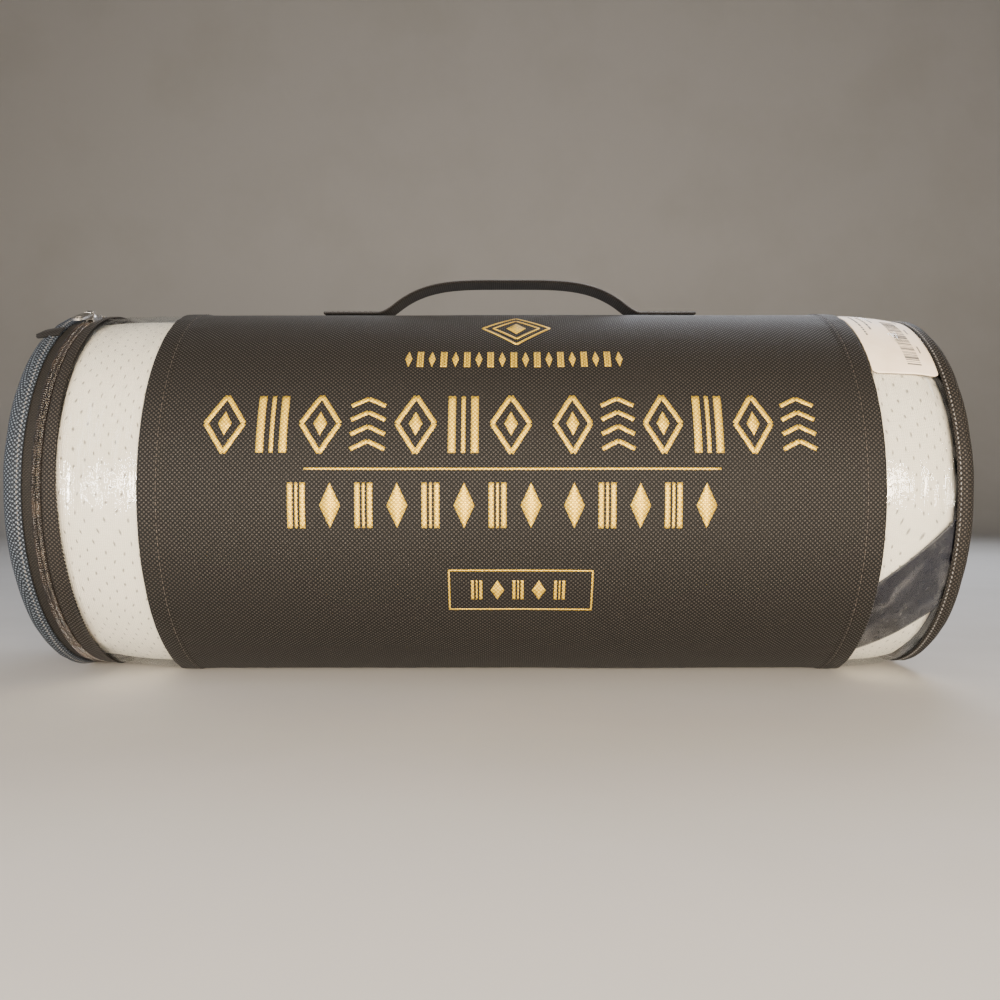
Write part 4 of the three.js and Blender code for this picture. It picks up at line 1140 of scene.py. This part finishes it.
def onSticker(x, arc, lift):
    # the paper bridges the film's small creases, so it lies on the film's mean depth
    angle = arc / girth * turn
    mean = bag["filmDepth"] - sticker["lift"]
    share = (x - sticker["from"]) / (sticker["to"] - sticker["from"])
    return onBag(x, angle, mean + sticker["wave"] * ripples(share, angle / turn, 3, 40, 41) - lift)


def makeSticker():
    u = np.linspace(-1, 1, 36)[None, :]
    v = np.linspace(-1, 1, 60)[:, None]
    halfX = (sticker["to"] - sticker["from"]) / 2
    halfV = radians(sticker["high"] - sticker["low"]) * bag["radius"] / 2
    # near a corner the edge is drawn in along a quarter circle
    cornerV = sticker["corner"] / halfV
    tuckU = np.clip((np.abs(v) - (1 - cornerV)) / cornerV, 0, 1)
    x = (sticker["from"] + halfX) + u * (halfX - sticker["corner"] * (1 - np.sqrt(1 - tuckU ** 2)))
    middle = radians(sticker["low"] + sticker["high"]) / 2 * bag["radius"]
    arc = middle + v * halfV + 0 * u
    skinPiece("sticker", onSticker(x, arc, 0), np.stack([x, arc], -1), paperMaterial, "label_paper",
              sticker["thickness"], replaces=["price_sticker"])
    # plain bars, then columns of dashes
    paths, widths = [], []
    chance = np.random.default_rng(5)
    at = middle - halfV + 8 * mm
    while at < middle + halfV - 14 * mm:
        thick = float(chance.choice(sticker["bars"])) * mm
        paths.append(straight(sticker["from"] + sticker["codeFrom"], at,
                              sticker["from"] + sticker["codeTo"], at, 4))
        widths.append(thick)
        at += thick / 2 + float(chance.choice(sticker["gaps"])) * mm
    for column, length in sticker["columns"]:
        x = sticker["from"] + column * mm
        at = middle + halfV - 6 * mm
        last = at - length * mm
        while at > last:
            dash = float(chance.choice(sticker["dashes"])) * mm
            paths.append(straight(x, at, x, at - dash, 5))
            widths.append(sticker["line"])
            at -= dash + sticker["line"]
    x = sticker["from"] + sticker["marksAt"]
    for v in sticker["marks"]:
        spot = middle + v * halfV
        paths.append(straight(x, spot, x, spot + 7 * mm, 5))
        widths.append(0.8 * mm)
    strokes("sticker_print", paths, widths, onSticker, inkMaterial, "ink", 0.08 * mm)


card = {"turned": 42, "middle": bag["right"] - 8 * mm, "angle": -45, "length": 110 * mm, "width": 42 * mm,
        "depth": 2.85 * mm, "wave": 0.12 * mm, "endGap": 1.5 * mm, "thickness": 0.3 * mm}


def makeCard():
    # a slanted strip wrapped onto the pillow: along its length and across its width
    slant = radians(card["turned"])
    u = np.linspace(0, 1, 60)[None, :]
    v = (np.linspace(-0.5, 0.5, 26) * card["width"])[:, None]
    start = card["middle"] - card["length"] / 2 * np.cos(slant) - v * np.sin(slant)
    x = start + (bag["filmRight"] - card["endGap"] - start) * u
    arc = (x - card["middle"]) * np.tan(slant) + v / np.cos(slant)
    angle = radians(card["angle"]) + arc / bag["radius"]
    wave = card["wave"] * ripples(u + 0 * v, np.clip(v / card["width"] + 0.5, 0, 0.99), 7, 5, 51)
    skinPiece("card", onBag(x, angle, card["depth"] + wave), np.stack([x, arc + 0 * x], -1), cardMaterial,
              "card", card["thickness"], replaces=["insert_card"])


makeSticker()
makeCard()
print("sticker and card made")

# ---- CAD pieces that keep their shape ----

kept = {
    "zip_top_stop": metalMaterial, "zip_bottom_stop": metalMaterial, "zip_slider": metalMaterial,
    "zip_pull": metalMaterial,
    "pillow_zip_tape": clothLabelMaterial, "pillow_zip_coil": paleCoilMaterial,
    "pillow_zip_slider": metalMaterial, "pillow_zip_pull": metalMaterial, "care_label": clothLabelMaterial,
}
for node, material in kept.items():
    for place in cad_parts[node].material_slots:
        place.material = material

# ---- floor ----

# flat under the bag, then a curve up into a backdrop
stageSize = {"side": 7, "front": -7, "bend": 1.7, "radius": 0.9, "top": 2.6}
climb = np.linspace(0, pi / 2, 24)
profile = np.vstack([[(stageSize["front"], 0)],
                     np.stack([stageSize["bend"] + stageSize["radius"] * np.sin(climb),
                               stageSize["radius"] * (1 - np.cos(climb))], 1),
                     [(stageSize["bend"] + stageSize["radius"], stageSize["top"])]])
sides = np.array([[-stageSize["side"], stageSize["side"]]])
stage = np.stack(np.broadcast_arrays(sides, profile[:, :1], profile[:, 1:]), -1)
floorMesh = gridMesh("floor", stage, closed=False)
floorMesh.shade_smooth()
floorMesh.materials.append(plainFinish("studio floor, pale", "#c6c4c0", "#c1bfba", 0.75, 30))
floor = bpy.data.objects.new("floor", floorMesh)
bpy.context.scene.collection.objects.link(floor)
